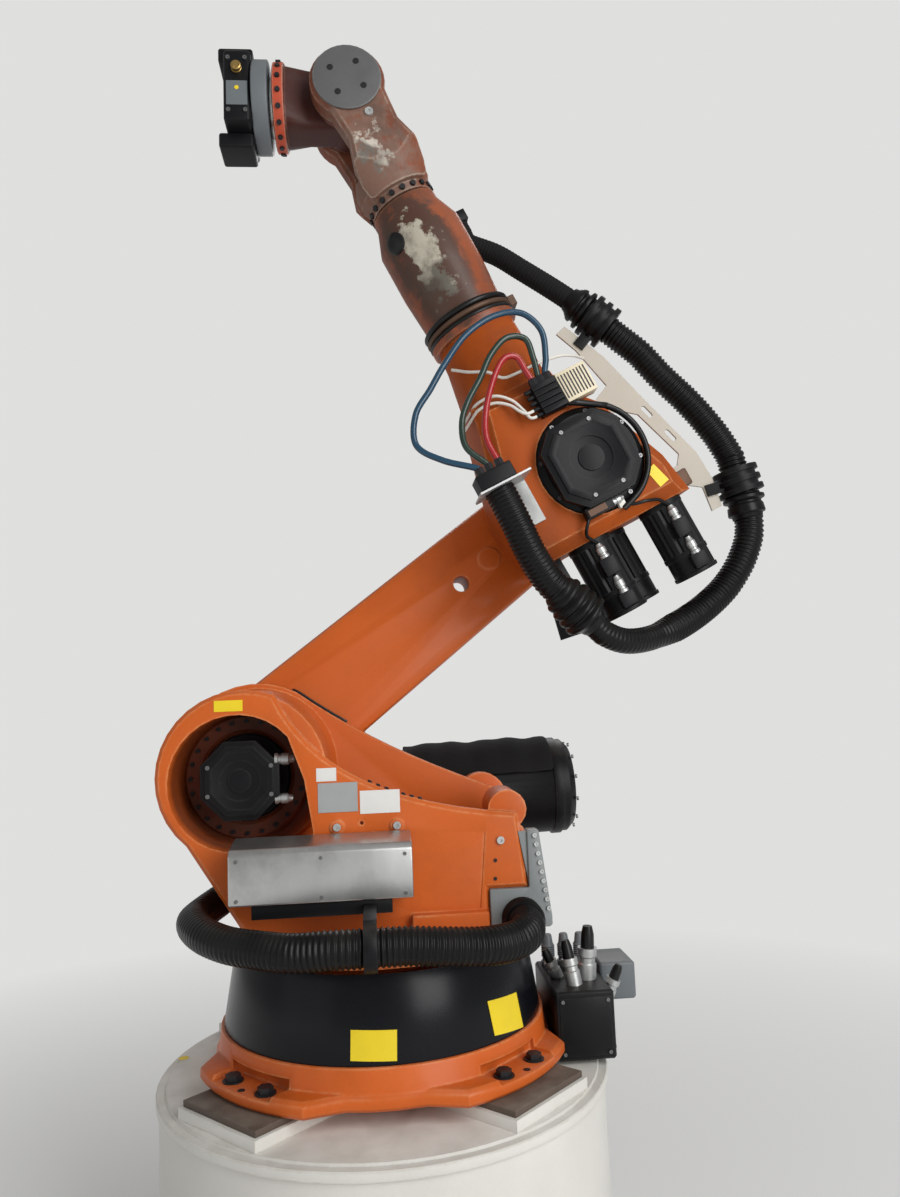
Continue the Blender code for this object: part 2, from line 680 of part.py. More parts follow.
def build_base(ground, orange, black, dark_steel):
    """Base casting with its gear drum, the cone skirt, and the connection box."""
    plate = plan_prism(base_outline(), BASE_UNDERSIDE, BASE_EDGE_HEIGHT, BASE_BEVEL, 1)
    base = stand("base_frame", plate, orange, ground)
    ring_low = BASE_UNDERSIDE + WELD_DEPTH
    ring = [(0, ring_low), (BASE_RING_RADIUS, ring_low),
            (BASE_RING_RADIUS + BASE_RING_SPREAD / 2, (BASE_UNDERSIDE + BASE_EDGE_HEIGHT) / 2),
            (BASE_RING_RADIUS, BASE_RING_HEIGHT), (GEAR_DRUM_RADIUS, BASE_RING_HEIGHT),
            (GEAR_DRUM_RADIUS, GEAR_DRUM_TOP), (0, GEAR_DRUM_TOP)]
    join(base, turned(ring, steps=2 * ROUND_STEPS))
    half_length, half_width = BASE_PAD_LENGTH / 2, BASE_PAD_WIDTH / 2
    for quarter in range(4):
        along, across = diagonal(quarter)
        corners = ((BASE_PAD_RADIUS - half_length, -half_width), (BASE_PAD_RADIUS + half_length, -half_width),
                   (BASE_PAD_RADIUS + half_length, half_width), (BASE_PAD_RADIUS - half_length, half_width))
        pad = [(a * along - b * across, a * across + b * along) for a, b in corners]
        cut(base, plan_prism(pad, BASE_EDGE_HEIGHT - BASE_PAD_DEPTH, BASE_EDGE_HEIGHT + CUT_OVERRUN))
    low, high = BASE_RING_HEIGHT + SEAT, SKIRT_TOP
    skirt = [(SKIRT_BOTTOM_RADIUS - SKIRT_WALL, low), (SKIRT_BOTTOM_RADIUS, low),
             (SKIRT_TOP_RADIUS, high), (SKIRT_TOP_RADIUS - SKIRT_WALL, high)]
    stand("base_skirt", turned(skirt, steps=2 * ROUND_STEPS), black, ground)
    build_connection(ground, black, dark_steel)


def build_connection(ground, black, dark_steel):
    """Box behind the base with the socket panel behind it and a row of plugs on top."""
    half = CONNECTION_WIDTH / 2
    front = -BASE_WEB_RADIUS - SEAT
    rear = front - CONNECTION_LENGTH
    box = block((rear, -half, CONNECTION_LOW), (front, half, CONNECTION_HIGH), CONNECTION_BEVEL)
    box = stand("connection_box", box, black, ground)
    cut(box, plan_prism(base_outline(SEAT), CONNECTION_LOW - CUT_OVERRUN, BASE_EDGE_HEIGHT + SEAT))
    panel = block((rear - SOCKET_PANEL_LENGTH, -half + CONNECTION_BEVEL, SOCKET_PANEL_LOW),
                  (rear - SEAT, SOCKET_PANEL_WIDTH - half, SOCKET_PANEL_HIGH), CONNECTION_BEVEL)
    stand("socket_housing", panel, dark_steel, ground)
    strip_low = CONNECTION_HIGH + SEAT
    strip_high = strip_low + PLUG_STRIP_HEIGHT
    middle = (rear + front) / 2
    reach = PLUG_COUNT * PLUG_SPACING / 2
    plugs = stand("cable_plugs", block((middle - reach, PLUG_ROW_Y - PLUG_SPACING / 2, strip_low),
                                       (middle + reach, PLUG_ROW_Y + PLUG_SPACING / 2, strip_high)),
                  dark_steel, ground)
    for count in range(PLUG_COUNT):
        centre = (middle + (count - (PLUG_COUNT - 1) / 2) * PLUG_SPACING, PLUG_ROW_Y, 0)
        join(plugs, disc(PLUG_RADIUS, strip_high - PLUG_STRIP_HEIGHT / 2, strip_high + PLUG_HEIGHT, "Z",
                         centre, SMALL_STEPS))


def near_wall_outline():
    """Near cheek of the column: shoulder ring, swooping top edge, rear edge and hose notch."""
    centre = (SHOULDER_REACH - SHOULDER_RING_SHIFT, SHOULDER_HEIGHT + SHOULDER_RING_SHIFT)
    ring = arc(centre, SHOULDER_RING_RADIUS, radians(-50), radians(112), 16)
    rear_top = (-COLUMN_REAR + COLUMN_REAR_ROUND, COLUMN_REAR_TOP)
    pull = (SHOULDER_REACH - SHOULDER_RING_RADIUS, COLUMN_REAR_TOP + FAR_WALL)
    top = swoop(ring[-1], pull, rear_top, 12)[1:]
    notch_front = -COLUMN_REAR + COLUMN_NOTCH_DEPTH
    rear = [(-COLUMN_REAR, COLUMN_NOTCH_HEIGHT), (notch_front, COLUMN_NOTCH_HEIGHT),
            (notch_front, TURNTABLE_LOW + WELD_DEPTH)]
    foot = [(COLUMN_FOOT_FRONT, TURNTABLE_LOW + WELD_DEPTH)]
    return ring + top + rear + foot


def far_wall_outline():
    """Far cheek of the column: a larger ring and a higher top edge that ends in a knuckle."""
    centre = (SHOULDER_REACH - SHOULDER_RING_SHIFT, SHOULDER_HEIGHT + SHOULDER_RING_SHIFT)
    ring = arc(centre, FAR_RING_RADIUS, radians(-50), radians(118), 16)
    rear_top = (-COLUMN_REAR, FAR_WALL_REAR_TOP)
    pull = (-COLUMN_REAR_ROUND, SHOULDER_HEIGHT + FAR_WALL)
    top = swoop(ring[-1], pull, rear_top, 10)[1:]
    rear = [(-COLUMN_REAR, TURNTABLE_LOW + WELD_DEPTH)]
    foot = [(COLUMN_FOOT_FRONT, TURNTABLE_LOW + WELD_DEPTH)]
    return ring + top + rear + foot


def bore_outline():
    """Opening of the shoulder ring: a circle drawn out to a corner at its lower rear."""
    centre = (SHOULDER_REACH, SHOULDER_HEIGHT)
    circle = arc(centre, SHOULDER_BORE_RADIUS, radians(-90), radians(140), 20)
    corner_x = SHOULDER_REACH - SHOULDER_BORE_RADIUS
    low = SHOULDER_HEIGHT - SHOULDER_BORE_RADIUS
    return circle + [(corner_x, SHOULDER_HEIGHT), (corner_x - CUT_OVERRUN, low + NEAR_WALL),
                     (corner_x, low)]


def build_column(turning, orange):
    """One casting: turntable, two cheeks, shoulder housing, floor, rear knuckle and ledge."""
    wall_low = NEAR_FACE - NEAR_WALL
    column = stand("rotating_column",
                   prism(near_wall_outline(), wall_low, NEAR_FACE, COLUMN_EDGE_BEVEL, 1), orange, turning)
    far_outline = far_wall_outline()
    join(column, prism(far_outline, -FAR_FACE, -FAR_FACE + FAR_WALL))
    centre = (SHOULDER_REACH - SHOULDER_RING_SHIFT, 0, SHOULDER_HEIGHT + SHOULDER_RING_SHIFT)
    barrel = [(0, -FAR_FACE + WELD_DEPTH), (FAR_RING_RADIUS - WELD_DEPTH, -FAR_FACE + WELD_DEPTH),
              (SHOULDER_RING_RADIUS - WELD_DEPTH, 0),
               (SHOULDER_RING_RADIUS - WELD_DEPTH, NEAR_FACE - NEAR_WALL / 2),
              (0, NEAR_FACE - NEAR_WALL / 2)]
    join(column, turned(barrel, "Y", centre))
    base_low = TURNTABLE_LOW
    table = [(0, GEAR_DRUM_TOP + SEAT), (SPIGOT_RADIUS, GEAR_DRUM_TOP + SEAT), (SPIGOT_RADIUS, base_low),
             (TURNTABLE_RADIUS, base_low), (TURNTABLE_RADIUS, TURNTABLE_HIGH), (0, TURNTABLE_HIGH)]
    join(column, turned(table))
    floor_top = TURNTABLE_HIGH + COLUMN_FLOOR
    join(column, block((-COLUMN_REAR + COLUMN_NOTCH_DEPTH, -FAR_FACE + WELD_DEPTH, base_low + WELD_DEPTH),
                       (COLUMN_FOOT_FRONT - WELD_DEPTH, NEAR_FACE - WELD_DEPTH, floor_top)))
    rear = [(-COLUMN_REAR + WELD_DEPTH, COLUMN_NOTCH_HEIGHT + WELD_DEPTH),
            (-COLUMN_REAR + NEAR_WALL, COLUMN_NOTCH_HEIGHT + WELD_DEPTH),
            (-COLUMN_REAR + NEAR_WALL, COLUMN_REAR_TOP - WELD_DEPTH),
            (-COLUMN_REAR + WELD_DEPTH, COLUMN_REAR_TOP - NEAR_WALL)]
    join(column, prism(rear, -FAR_FACE + WELD_DEPTH, NEAR_FACE - WELD_DEPTH))
    front = [(COLUMN_FOOT_FRONT - NEAR_WALL, floor_top - WELD_DEPTH),
             (COLUMN_FOOT_FRONT, floor_top - WELD_DEPTH),
             (SHOULDER_REACH + NEAR_WALL, SHOULDER_HEIGHT - SHOULDER_RING_RADIUS + WELD_DEPTH),
             (SHOULDER_REACH - NEAR_WALL, SHOULDER_HEIGHT - SHOULDER_RING_RADIUS + NEAR_WALL)]
    join(column, prism(front, -FAR_FACE + WELD_DEPTH, NEAR_FACE - WELD_DEPTH))
    knuckle = (-KNUCKLE_BACK, 0, KNUCKLE_HEIGHT)
    join(column, disc(KNUCKLE_RADIUS, KNUCKLE_FAR, wall_low + WELD_DEPTH, "Y", knuckle, SMALL_STEPS))
    ledge_rear = -COLUMN_REAR + COLUMN_NOTCH_DEPTH + WELD_DEPTH
    join(column, block((ledge_rear, NEAR_FACE - WELD_DEPTH, TURNTABLE_HIGH - WELD_DEPTH),
                       (ledge_rear + LEDGE_LENGTH, NEAR_FACE + LEDGE_WIDTH, TURNTABLE_HIGH + LEDGE_HEIGHT),
                       WELD_DEPTH / 2))
    cut(column, prism(bore_outline(), SHOULDER_BORE_FLOOR, NEAR_FACE + CUT_OVERRUN))
    return column


def build_shoulder_motor(turning, black):
    """Motor in the shoulder ring: flange, round body and an eight-sided end cap."""
    start = SHOULDER_BORE_FLOOR + SEAT
    body_end = start + SHOULDER_MOTOR_LENGTH
    centre = (SHOULDER_REACH, 0, SHOULDER_HEIGHT)
    profile = [(0, start), (MOTOR_FLANGE_RADIUS, start),
               (MOTOR_FLANGE_RADIUS, start + MOTOR_FLANGE_THICKNESS),
               (MOTOR_BODY_RADIUS, start + MOTOR_FLANGE_THICKNESS), (MOTOR_BODY_RADIUS, body_end),
               (0, body_end)]
    stand("shoulder_motor", turned(profile, "Y", centre), black, turning)
    outline = chamfered_square((SHOULDER_REACH, SHOULDER_HEIGHT), MOTOR_CAP_HALF, MOTOR_CAP_CORNER)
    cap = prism(outline, body_end + SEAT, body_end + MOTOR_CAP_LENGTH, MOTOR_CAP_BEVEL, 1)
    stand("shoulder_motor_cap", cap, black, turning)


def build_side_box(turning, sheet, grey):
    """Folded sheet box on the near cheek, and the bracket that carries it."""
    near = NEAR_FACE + SIDE_BOX_STANDOFF
    rear = SIDE_BOX_FRONT - SIDE_BOX_LENGTH
    top = SIDE_BOX_LOW + SIDE_BOX_HEIGHT
    bracket = stand("side_box_bracket",
                    block((rear + SIDE_BRACKET_INSET, NEAR_FACE + SEAT, SIDE_BOX_LOW - SIDE_BRACKET_DROP),
                          (SIDE_BOX_FRONT - SIDE_BRACKET_INSET, near + SIDE_BRACKET_DEPTH,
                            SIDE_BOX_LOW - SEAT)),
                    grey, turning)
    join(bracket, block((rear + SIDE_BRACKET_INSET, NEAR_FACE + SEAT, SIDE_BOX_LOW - SIDE_BRACKET_DROP),
                        (SIDE_BOX_FRONT - SIDE_BRACKET_INSET, near - SEAT, top - SIDE_BOX_SLOPE)))
    section = [(near, SIDE_BOX_LOW), (near + SIDE_BOX_DEPTH, SIDE_BOX_LOW),
               (near + SIDE_BOX_DEPTH, top - SIDE_BOX_SLOPE), (near + SIDE_BOX_DEPTH - SIDE_BOX_SLOPE, top),
               (near, top + SIDE_BOX_SLOPE)]
    bm = bmesh.new()
    face = bm.faces.new([bm.verts.new((rear, y, z)) for y, z in section])
    grown = bmesh.ops.extrude_face_region(bm, geom=[face])
    moved = [v for v in grown["geom"] if isinstance(v, bmesh.types.BMVert)]
    bmesh.ops.translate(bm, verts=moved, vec=(SIDE_BOX_LENGTH, 0, 0))
    stand("side_box", to_mesh(bm), sheet, turning)


def build_rear_plate(turning, grey, rubber):
    """Grey plate down the column's rear edge, and the boot that the hose loop leaves by."""
    low, high = TURNTABLE_HIGH + SEAT, KNUCKLE_HEIGHT - KNUCKLE_RADIUS
    edge = -COLUMN_REAR - SEAT
    notch_front = -COLUMN_REAR + COLUMN_NOTCH_DEPTH - SEAT
    notch_top = COLUMN_NOTCH_HEIGHT - SEAT
    outline = [(edge, high), (edge, notch_top), (notch_front, notch_top), (notch_front, low + WELD_DEPTH),
               (notch_front - WELD_DEPTH, low), (edge - REAR_PLATE_SPREAD + WELD_DEPTH, low),
               (edge - REAR_PLATE_SPREAD, low + WELD_DEPTH), (edge - REAR_PLATE_SPREAD, BOOT_HEIGHT),
               (edge - REAR_PLATE_WIDTH, high)]
    far = REAR_PLATE_NEAR - REAR_PLATE_THICKNESS
    stand("rear_hose_plate", prism(outline, far, REAR_PLATE_NEAR), grey, turning)
    start = REAR_PLATE_NEAR + SEAT
    centre = (-BOOT_BACK, 0, BOOT_HEIGHT)
    stand("hose_boot", disc(BOOT_RADIUS, start, start + BOOT_LENGTH, "Y", centre, SMALL_STEPS, WELD_DEPTH),
          rubber, turning)


def build_loop(turning, rubber, black):
    """Hose loop around the column and the strap that hangs it from the box bracket."""
    hose("column_hose_loop", LOOP_HOSE_POINTS, LOOP_HOSE_RADIUS, rubber, turning)
    inner = LOOP_HOSE_RADIUS / cos(pi / SMALL_STEPS) + STRAP_THICKNESS / 2
    outer = inner + STRAP_THICKNESS
    low, high = STRAP_AT - STRAP_WIDTH / 2, STRAP_AT + STRAP_WIDTH / 2
    ring = [(inner, low), (outer, low), (outer, high), (inner, high)]
    strap = stand("hose_strap", turned(ring, "X", (0, STRAP_HOSE_Y, STRAP_HOSE_Z), SMALL_STEPS),
                  black, turning)
    bar_low = STRAP_HOSE_Z + inner + STRAP_THICKNESS / 4
    bracket_front = NEAR_FACE + SIDE_BOX_STANDOFF + SIDE_BRACKET_DEPTH + SEAT
    join(strap, block((low, bracket_front, bar_low), (high, STRAP_HOSE_Y, bar_low + 2 * STRAP_THICKNESS)))


def crank_pin():
    """The crank pin's place at rest, in the column's own frame."""
    return (SHOULDER_REACH + CRANK_RADIUS * cos(CRANK_ANGLE),
            SHOULDER_HEIGHT + CRANK_RADIUS * sin(CRANK_ANGLE))


def build_counterbalance(turning, barrel_axis, orange, black, steel):
    """Fork on the column, the cylinder that swings in it, and its rod."""
    centre = (-TRUNNION_BACK, TRUNNION_HEIGHT)
    near_high = -FAR_FACE - SEAT
    near_low = near_high - CHEEK_THICKNESS
    far_high = COUNTER_Y - BARREL_RADIUS - FAR_CHEEK_GAP
    far_low = far_high - CHEEK_THICKNESS
    cheek = arc(centre, CHEEK_TOP_RADIUS, 0, pi, 14)
    foot_rear, foot_front = -TRUNNION_BACK - CHEEK_FOOT, -TRUNNION_BACK + CHEEK_FOOT
    foot_low = TURNTABLE_HIGH + SEAT
    cheek += [(foot_rear, foot_low + BRACKET_SHELF), (foot_rear, foot_low), (foot_front, foot_low),
              (foot_front, foot_low + BRACKET_SHELF)]
    fork = stand("counterbalance_fork", prism(cheek, near_low, near_high), orange, turning)
    join(fork, prism(cheek, far_low, far_high))
    join(fork, block((foot_rear + WELD_DEPTH, far_low + WELD_DEPTH, foot_low + WELD_DEPTH / 2),
                     (foot_front - WELD_DEPTH, near_high - WELD_DEPTH, foot_low + BRACKET_SHELF)))
    hole = disc(TRUNNION_RADIUS + BEARING_GAP, far_low - CUT_OVERRUN, near_high + CUT_OVERRUN, "Y",
                (centre[0], 0, centre[1]), SMALL_STEPS)
    cut(fork, hole)
    barrel = [(0, -BARREL_REAR), (BARREL_RADIUS - BARREL_CHAMFER, -BARREL_REAR),
              (BARREL_RADIUS, -BARREL_REAR + BARREL_CHAMFER),
              (BARREL_RADIUS, BARREL_FRONT - 2 * BARREL_CHAMFER),
              (BARREL_RADIUS - 2 * BARREL_CHAMFER, BARREL_FRONT), (0, BARREL_FRONT)]
    cylinder = stand("counterbalance_cylinder", turned(barrel, "X"), black, barrel_axis)
    for start in (-BARREL_REAR + 2 * BARREL_CHAMFER, BARREL_FRONT - 3 * BARREL_CHAMFER - BARREL_BAND_WIDTH):
        band = [(0, start), (BARREL_RADIUS + BARREL_BAND_HEIGHT, start),
                (BARREL_RADIUS + BARREL_BAND_HEIGHT, start + BARREL_BAND_WIDTH),
                (0, start + BARREL_BAND_WIDTH)]
        join(cylinder, turned(band, "X"))
    reach = BARREL_RADIUS + TRUNNION_REACH
    join(cylinder, disc(TRUNNION_RADIUS, -reach, reach, "Y", (0, 0, 0), SMALL_STEPS))
    cut(cylinder, disc(ROD_RADIUS + BEARING_GAP, BARREL_FRONT - BORE_DEPTH, BARREL_FRONT + CUT_OVERRUN, "X",
                       (0, 0, 0), SMALL_STEPS))
    pin_x, pin_z = crank_pin()
    span = hypot(pin_x + TRUNNION_BACK, pin_z - TRUNNION_HEIGHT)
    rod = stand("counterbalance_rod", disc(ROD_RADIUS, -ROD_TAIL, span, "X", (0, 0, 0), SMALL_STEPS),
                steel, barrel_axis)
    half = ROD_EYE_THICKNESS / 2
    join(rod, disc(ROD_EYE_RADIUS, -half, half, "Y", (span, 0, 0), SMALL_STEPS + 4))
    hub_face = LINK_NEAR - LINK_THICKNESS - COUNTER_Y - SEAT
    join(rod, disc(CRANK_PIN_RADIUS, half - WELD_DEPTH, hub_face, "Y", (span, 0, 0), SMALL_STEPS))


def link_outline():
    """Side view of the link arm, tapering from the shoulder hub to the elbow end."""
    hub = arc((0, 0), LINK_HUB_RADIUS, radians(88), radians(275), 24)
    tip_centre = (LINK_LENGTH, LINK_END_SHIFT)
    tip = arc(tip_centre, LINK_END_RADIUS, radians(-85), radians(88), 18)
    waist = (LINK_LENGTH * LINK_WAIST_SHARES[0], LINK_HUB_RADIUS * LINK_WAIST_SHARES[1])
    return hub + tip + [waist]


def build_link(link_axis, orange):
    """Link arm: a bevelled beam with its hub boss, a small side boss and a through hole."""
    near, far = LINK_NEAR, LINK_NEAR - LINK_THICKNESS
    link = stand("link_arm", prism(link_outline(), far, near, LINK_BEVEL), orange, link_axis)
    hub_top = -FAR_FACE - SEAT
    join(link, disc(LINK_HUB_BOSS_RADIUS, near - WELD_DEPTH, hub_top))
    join(link, disc(LINK_BOSS_RADIUS, near - WELD_DEPTH, near + LINK_BOSS_HEIGHT, "Y", (LINK_BOSS_AT, 0, 0),
                    SMALL_STEPS))
    cut(link, disc(LINK_HOLE_RADIUS, far - CUT_OVERRUN, near + CUT_OVERRUN, "Y", (LINK_HOLE_AT, 0, 0),
                   SMALL_STEPS))


def housing_outline(lift=0):
    """Side view of the elbow housing: a tall square rear that slopes down to the neck."""
    length = ELBOW_REAR + ELBOW_FRONT
    back = [(-ELBOW_REAR + length * share, ELBOW_HIGH * height + lift) for share, height in ELBOW_BACK_SHARES]
    edge = [(-ELBOW_REAR + length * share, lift - ELBOW_LOW * height) for share, height in ELBOW_EDGE_SHARES]
    return back + edge


def neck_sections():
    """Neck from inside the elbow housing to its round front end."""
    middle_y = (ELBOW_NEAR - ELBOW_FAR) / 2
    half_y = (ELBOW_NEAR + ELBOW_FAR) / 2 - ELBOW_BEVEL
    top = ELBOW_HIGH * ELBOW_BACK_SHARES[-1][1]
    low = -ELBOW_LOW * ELBOW_EDGE_SHARES[0][1]
    sections = []
    for (share, blend), square in zip(NECK_SHARES, NECK_SQUARENESS_SHARES):
        keep = 1 - blend
        sections.append((NECK_START + (HOUSING_END - NECK_START) * share, middle_y * keep,
                         (top + low) / 2 * keep - ARM_OFFSET * blend,
                         half_y * keep + HOUSING_END_RADIUS * blend,
                         (top - low) / 2 * keep + HOUSING_END_RADIUS * blend, square))
    return sections


def tube_profile(start, end, margin=0):
    """Radii along the extension tube, with an added margin."""
    bulge_from, bulge_to = (start + (end - start) * share for share in TUBE_BULGE_SHARES)
    points = [(TUBE_FLANGE_RADIUS, start), (TUBE_FLANGE_RADIUS, start + TUBE_FLANGE_THICKNESS),
              (HOUSING_END_RADIUS, start + 2 * TUBE_FLANGE_THICKNESS), (TUBE_BULGE_RADIUS, bulge_from),
              (TUBE_BULGE_RADIUS, bulge_to), (TUBE_END_RADIUS, end - TUBE_FLANGE_THICKNESS),
              (TUBE_END_RADIUS, end)]
    return [(0, start)] + [(radius + margin, along) for radius, along in points] + [(0, end)]


def build_upper_arm(arm_axis, orange, black):
    """Elbow housing with its bearing boss and motor seat, then the extension tube."""
    body = prism(housing_outline(), -ELBOW_FAR, ELBOW_NEAR, ELBOW_BEVEL, 1)
    housing = stand("elbow_housing", body, orange, arm_axis)
    join(housing, loft(neck_sections(), 24))
    join(housing, disc(ELBOW_BOSS_RADIUS, LINK_NEAR + SEAT, -ELBOW_FAR + WELD_DEPTH))
    cut(housing, disc(ELBOW_BORE_RADIUS, ELBOW_NEAR - ELBOW_BORE_DEPTH, ELBOW_NEAR + CUT_OVERRUN))
    tube = tube_profile(HOUSING_END + SEAT, ARM_LENGTH - TUBE_TO_WRIST)
    stand("arm_extension", turned(tube, "X", (0, 0, -ARM_OFFSET)), orange, arm_axis)
    build_elbow_motor(arm_axis, black)
    build_wrist_motors(arm_axis, black)


def build_elbow_motor(arm_axis, black):
    """Elbow motor: a round base in the housing's seat and an eight-sided cap."""
    start = ELBOW_NEAR - ELBOW_BORE_DEPTH + SEAT
    seat_radius = ELBOW_BORE_RADIUS - BEARING_GAP
    body_end = start + ELBOW_MOTOR_LENGTH
    profile = [(0, start), (seat_radius, start), (seat_radius, start + ELBOW_BORE_DEPTH),
               (ELBOW_MOTOR_RADIUS, body_end), (0, body_end)]
    stand("elbow_motor", turned(profile, "Y"), black, arm_axis)
    outline = chamfered_square((0, -ELBOW_CAP_DROP), ELBOW_CAP_HALF, ELBOW_CAP_CORNER)
    cap = prism(outline, body_end + SEAT, body_end + ELBOW_CAP_LENGTH, MOTOR_CAP_BEVEL, 1)
    stand("elbow_motor_cap", cap, black, arm_axis)


def build_wrist_motors(arm_axis, black):
    """Three long motors on the elbow housing's rear face."""
    places = (("wrist_motor_lower", WRIST_MOTOR_NEAR, WRIST_MOTOR_LOWER),
              ("wrist_motor_upper", WRIST_MOTOR_NEAR, WRIST_MOTOR_UPPER),
              ("wrist_motor_far", WRIST_MOTOR_FAR, 0))
    front = -ELBOW_REAR - SEAT
    rear = front - WRIST_MOTOR_LENGTH - WRIST_MOTOR_CAP
    wide = WRIST_MOTOR_RADIUS
    slim = WRIST_MOTOR_RADIUS - WELD_DEPTH
    for name, y, z in places:
        profile = [(0, rear), (slim - WELD_DEPTH, rear), (slim, rear + WELD_DEPTH),
                   (slim, rear + WRIST_MOTOR_CAP), (wide, rear + WRIST_MOTOR_CAP),
                   (wide, front - WRIST_MOTOR_FLANGE), (wide + WELD_DEPTH, front - WRIST_MOTOR_FLANGE),
                   (wide + WELD_DEPTH, front), (0, front)]
        stand(name, turned(profile, "X", (0, y, z), SMALL_STEPS), black, arm_axis)


def build_bracket(arm_axis, sheet):
    """Sheet bracket that stands on the housing's back with its two feet."""
    half = BRACKET_THICKNESS / 2
    bracket = stand("pack_bracket", prism(BRACKET_OUTLINE, -half, half), sheet, arm_axis)
    cut(bracket, prism(housing_outline(2 * SEAT), -ELBOW_FAR, ELBOW_NEAR))
    reach = BRACKET_SLOT_LENGTH / 2 - BRACKET_SLOT_RADIUS
    for x, z in BRACKET_SLOT_PLACES:
        along = (reach * cos(BRACKET_SLOT_TILT), reach * sin(BRACKET_SLOT_TILT))
        ahead = arc((x + along[0], z + along[1]), BRACKET_SLOT_RADIUS, BRACKET_SLOT_TILT - pi / 2,
                    BRACKET_SLOT_TILT + pi / 2, 4)
        behind = arc((x - along[0], z - along[1]), BRACKET_SLOT_RADIUS, BRACKET_SLOT_TILT + pi / 2,
                     BRACKET_SLOT_TILT + 3 * pi / 2, 4)
        cut(bracket, prism(ahead + behind, -half - CUT_OVERRUN, half + CUT_OVERRUN))


def build_clamp(name, arm_axis, place, tilt, inner, black):
    """Ribbed hose clamp with a lug that lies flat on the sheet bracket."""
    axis = joint_empty(f"{name}_axis", arm_axis, place, tilt)
    start, rib = -CLAMP_LENGTH / 2, CLAMP_LENGTH / (2 * CLAMP_RIBS - 1)
    outer = []
    for count in range(2 * CLAMP_RIBS - 1):
        radius = CLAMP_RADIUS - CLAMP_GROOVE * (count % 2)
        outer += [(radius, start + count * rib), (radius, start + (count + 1) * rib)]
    clamp = stand(name, turned([(inner, start)] + outer + [(inner, -start)], "X", steps=SMALL_STEPS),
                  black, axis)
    low = BRACKET_THICKNESS / 2 + SEAT
    join(clamp, block((-CLAMP_LUG_WIDTH / 2, low, -CLAMP_LUG_REACH),
                      (CLAMP_LUG_WIDTH / 2, low + CLAMP_LUG_THICKNESS,
                       CLAMP_GROOVE - CLAMP_RADIUS + WELD_DEPTH)))


def boot_shape(margin=0):
    """Boot from its start to its end, with an added margin on its radius."""
    length = (Vector(BOOT_END) - Vector(BOOT_START)).length
    neck = PACK_HOSE_RADIUS + WELD_DEPTH + margin
    wide = PACK_BOOT_RADIUS + margin
    profile = [(0, 0), (neck, 0), (wide, BOOT_SHOULDER), (wide, length - BOOT_SHOULDER), (neck, length),
               (0, length)]
    return aimed(turned(profile, "X", steps=SMALL_STEPS), BOOT_START, BOOT_END)


def build_boot(arm_axis, black, rubber):
    """Fat boot that joins two lengths of the hose, on a post from its plate."""
    stand("hose_joint_boot", boot_shape(), rubber, arm_axis)
    far = BOOT_PLATE_Y - BOOT_PLATE_THICKNESS
    plate = stand("boot_plate", prism(BOOT_PLATE_OUTLINE, far, BOOT_PLATE_Y), black, arm_axis)
    middle = (Vector(BOOT_START) + Vector(BOOT_END)) / 2
    join(plate, disc(BOOT_POST_RADIUS, BOOT_PLATE_Y - BOOT_PLATE_THICKNESS / 2, middle.y, "Y",
                     (middle.x, 0, middle.z), SMALL_STEPS))
    cut(plate, boot_shape(SEAT))
    cut(plate, block((-ELBOW_REAR - SEAT, far - CUT_OVERRUN, -ELBOW_LOW),
                     (ELBOW_FRONT, BOOT_PLATE_Y + CUT_OVERRUN, ELBOW_HIGH)))


def build_end_plate(arm_axis, zinc, black, cream):
    """Plate where the corrugated hose ends, its plug block, and the terminals by the motor."""
    face = ELBOW_NEAR + SEAT
    thick = END_PLATE_THICKNESS
    plate = stand("hose_end_plate", block((END_PLATE_AT, face, END_PLATE_LOW),
                                          (END_PLATE_AT + thick, face + END_PLATE_REACH, END_PLATE_HIGH)),
                  zinc, arm_axis)
    join(plate, block((END_PLATE_AT - END_PLATE_FOOT, face, END_PLATE_FOOT_LOW),
                      (END_PLATE_AT + thick / 2, face + thick, END_PLATE_HIGH)))
    half = PACK_HOSE_RADIUS + END_BLOCK_MARGIN / 2
    plugs = block((END_PLATE_AT + thick + SEAT, END_HOSE_Y - half + END_BLOCK_MARGIN, END_HOSE_Z - half),
                  (END_PLATE_AT + thick + END_BLOCK_LENGTH, END_HOSE_Y + half, END_HOSE_Z + half),
                  WELD_DEPTH / 2)
    stand("hose_end_plugs", plugs, black, arm_axis)
    end = TERMINAL_START + TERMINAL_LENGTH
    top = face + TERMINAL_HEIGHT
    sockets = stand("terminal_sockets", block((TERMINAL_START, face, TERMINAL_LOW),
                                              (end, face + TERMINAL_FOOT, TERMINAL_HIGH)), black, arm_axis)
    join(sockets, block((TERMINAL_START, face + TERMINAL_FOOT / 2, TERMINAL_LOW), (end, top, TERMINAL_SPLIT)))
    stand("terminal_block", block((TERMINAL_START, face + TERMINAL_FOOT + SEAT, TERMINAL_SPLIT + SEAT),
                                  (end, top, TERMINAL_HIGH)), cream, arm_axis)


def build_hose_stop(arm_axis, black):
    """Block on the tube's far side that holds the front hose's end."""
    end = ARM_LENGTH - TUBE_TO_WRIST
    start = end - HOSE_STOP_BACK
    stop = stand("front_hose_stop",
                 block((start, HOSE_STOP_Y - HOSE_STOP_HALF, -ARM_OFFSET + TUBE_END_RADIUS / 2),
                       (start + HOSE_STOP_LENGTH, HOSE_STOP_Y + HOSE_STOP_HALF,
                         HOSE_STOP_Z + HOSE_STOP_HALF)),
                 black, arm_axis)
    tube = tube_profile(HOUSING_END + SEAT, end, 2 * SEAT)
    cut(stop, turned(tube, "X", (0, 0, -ARM_OFFSET)))


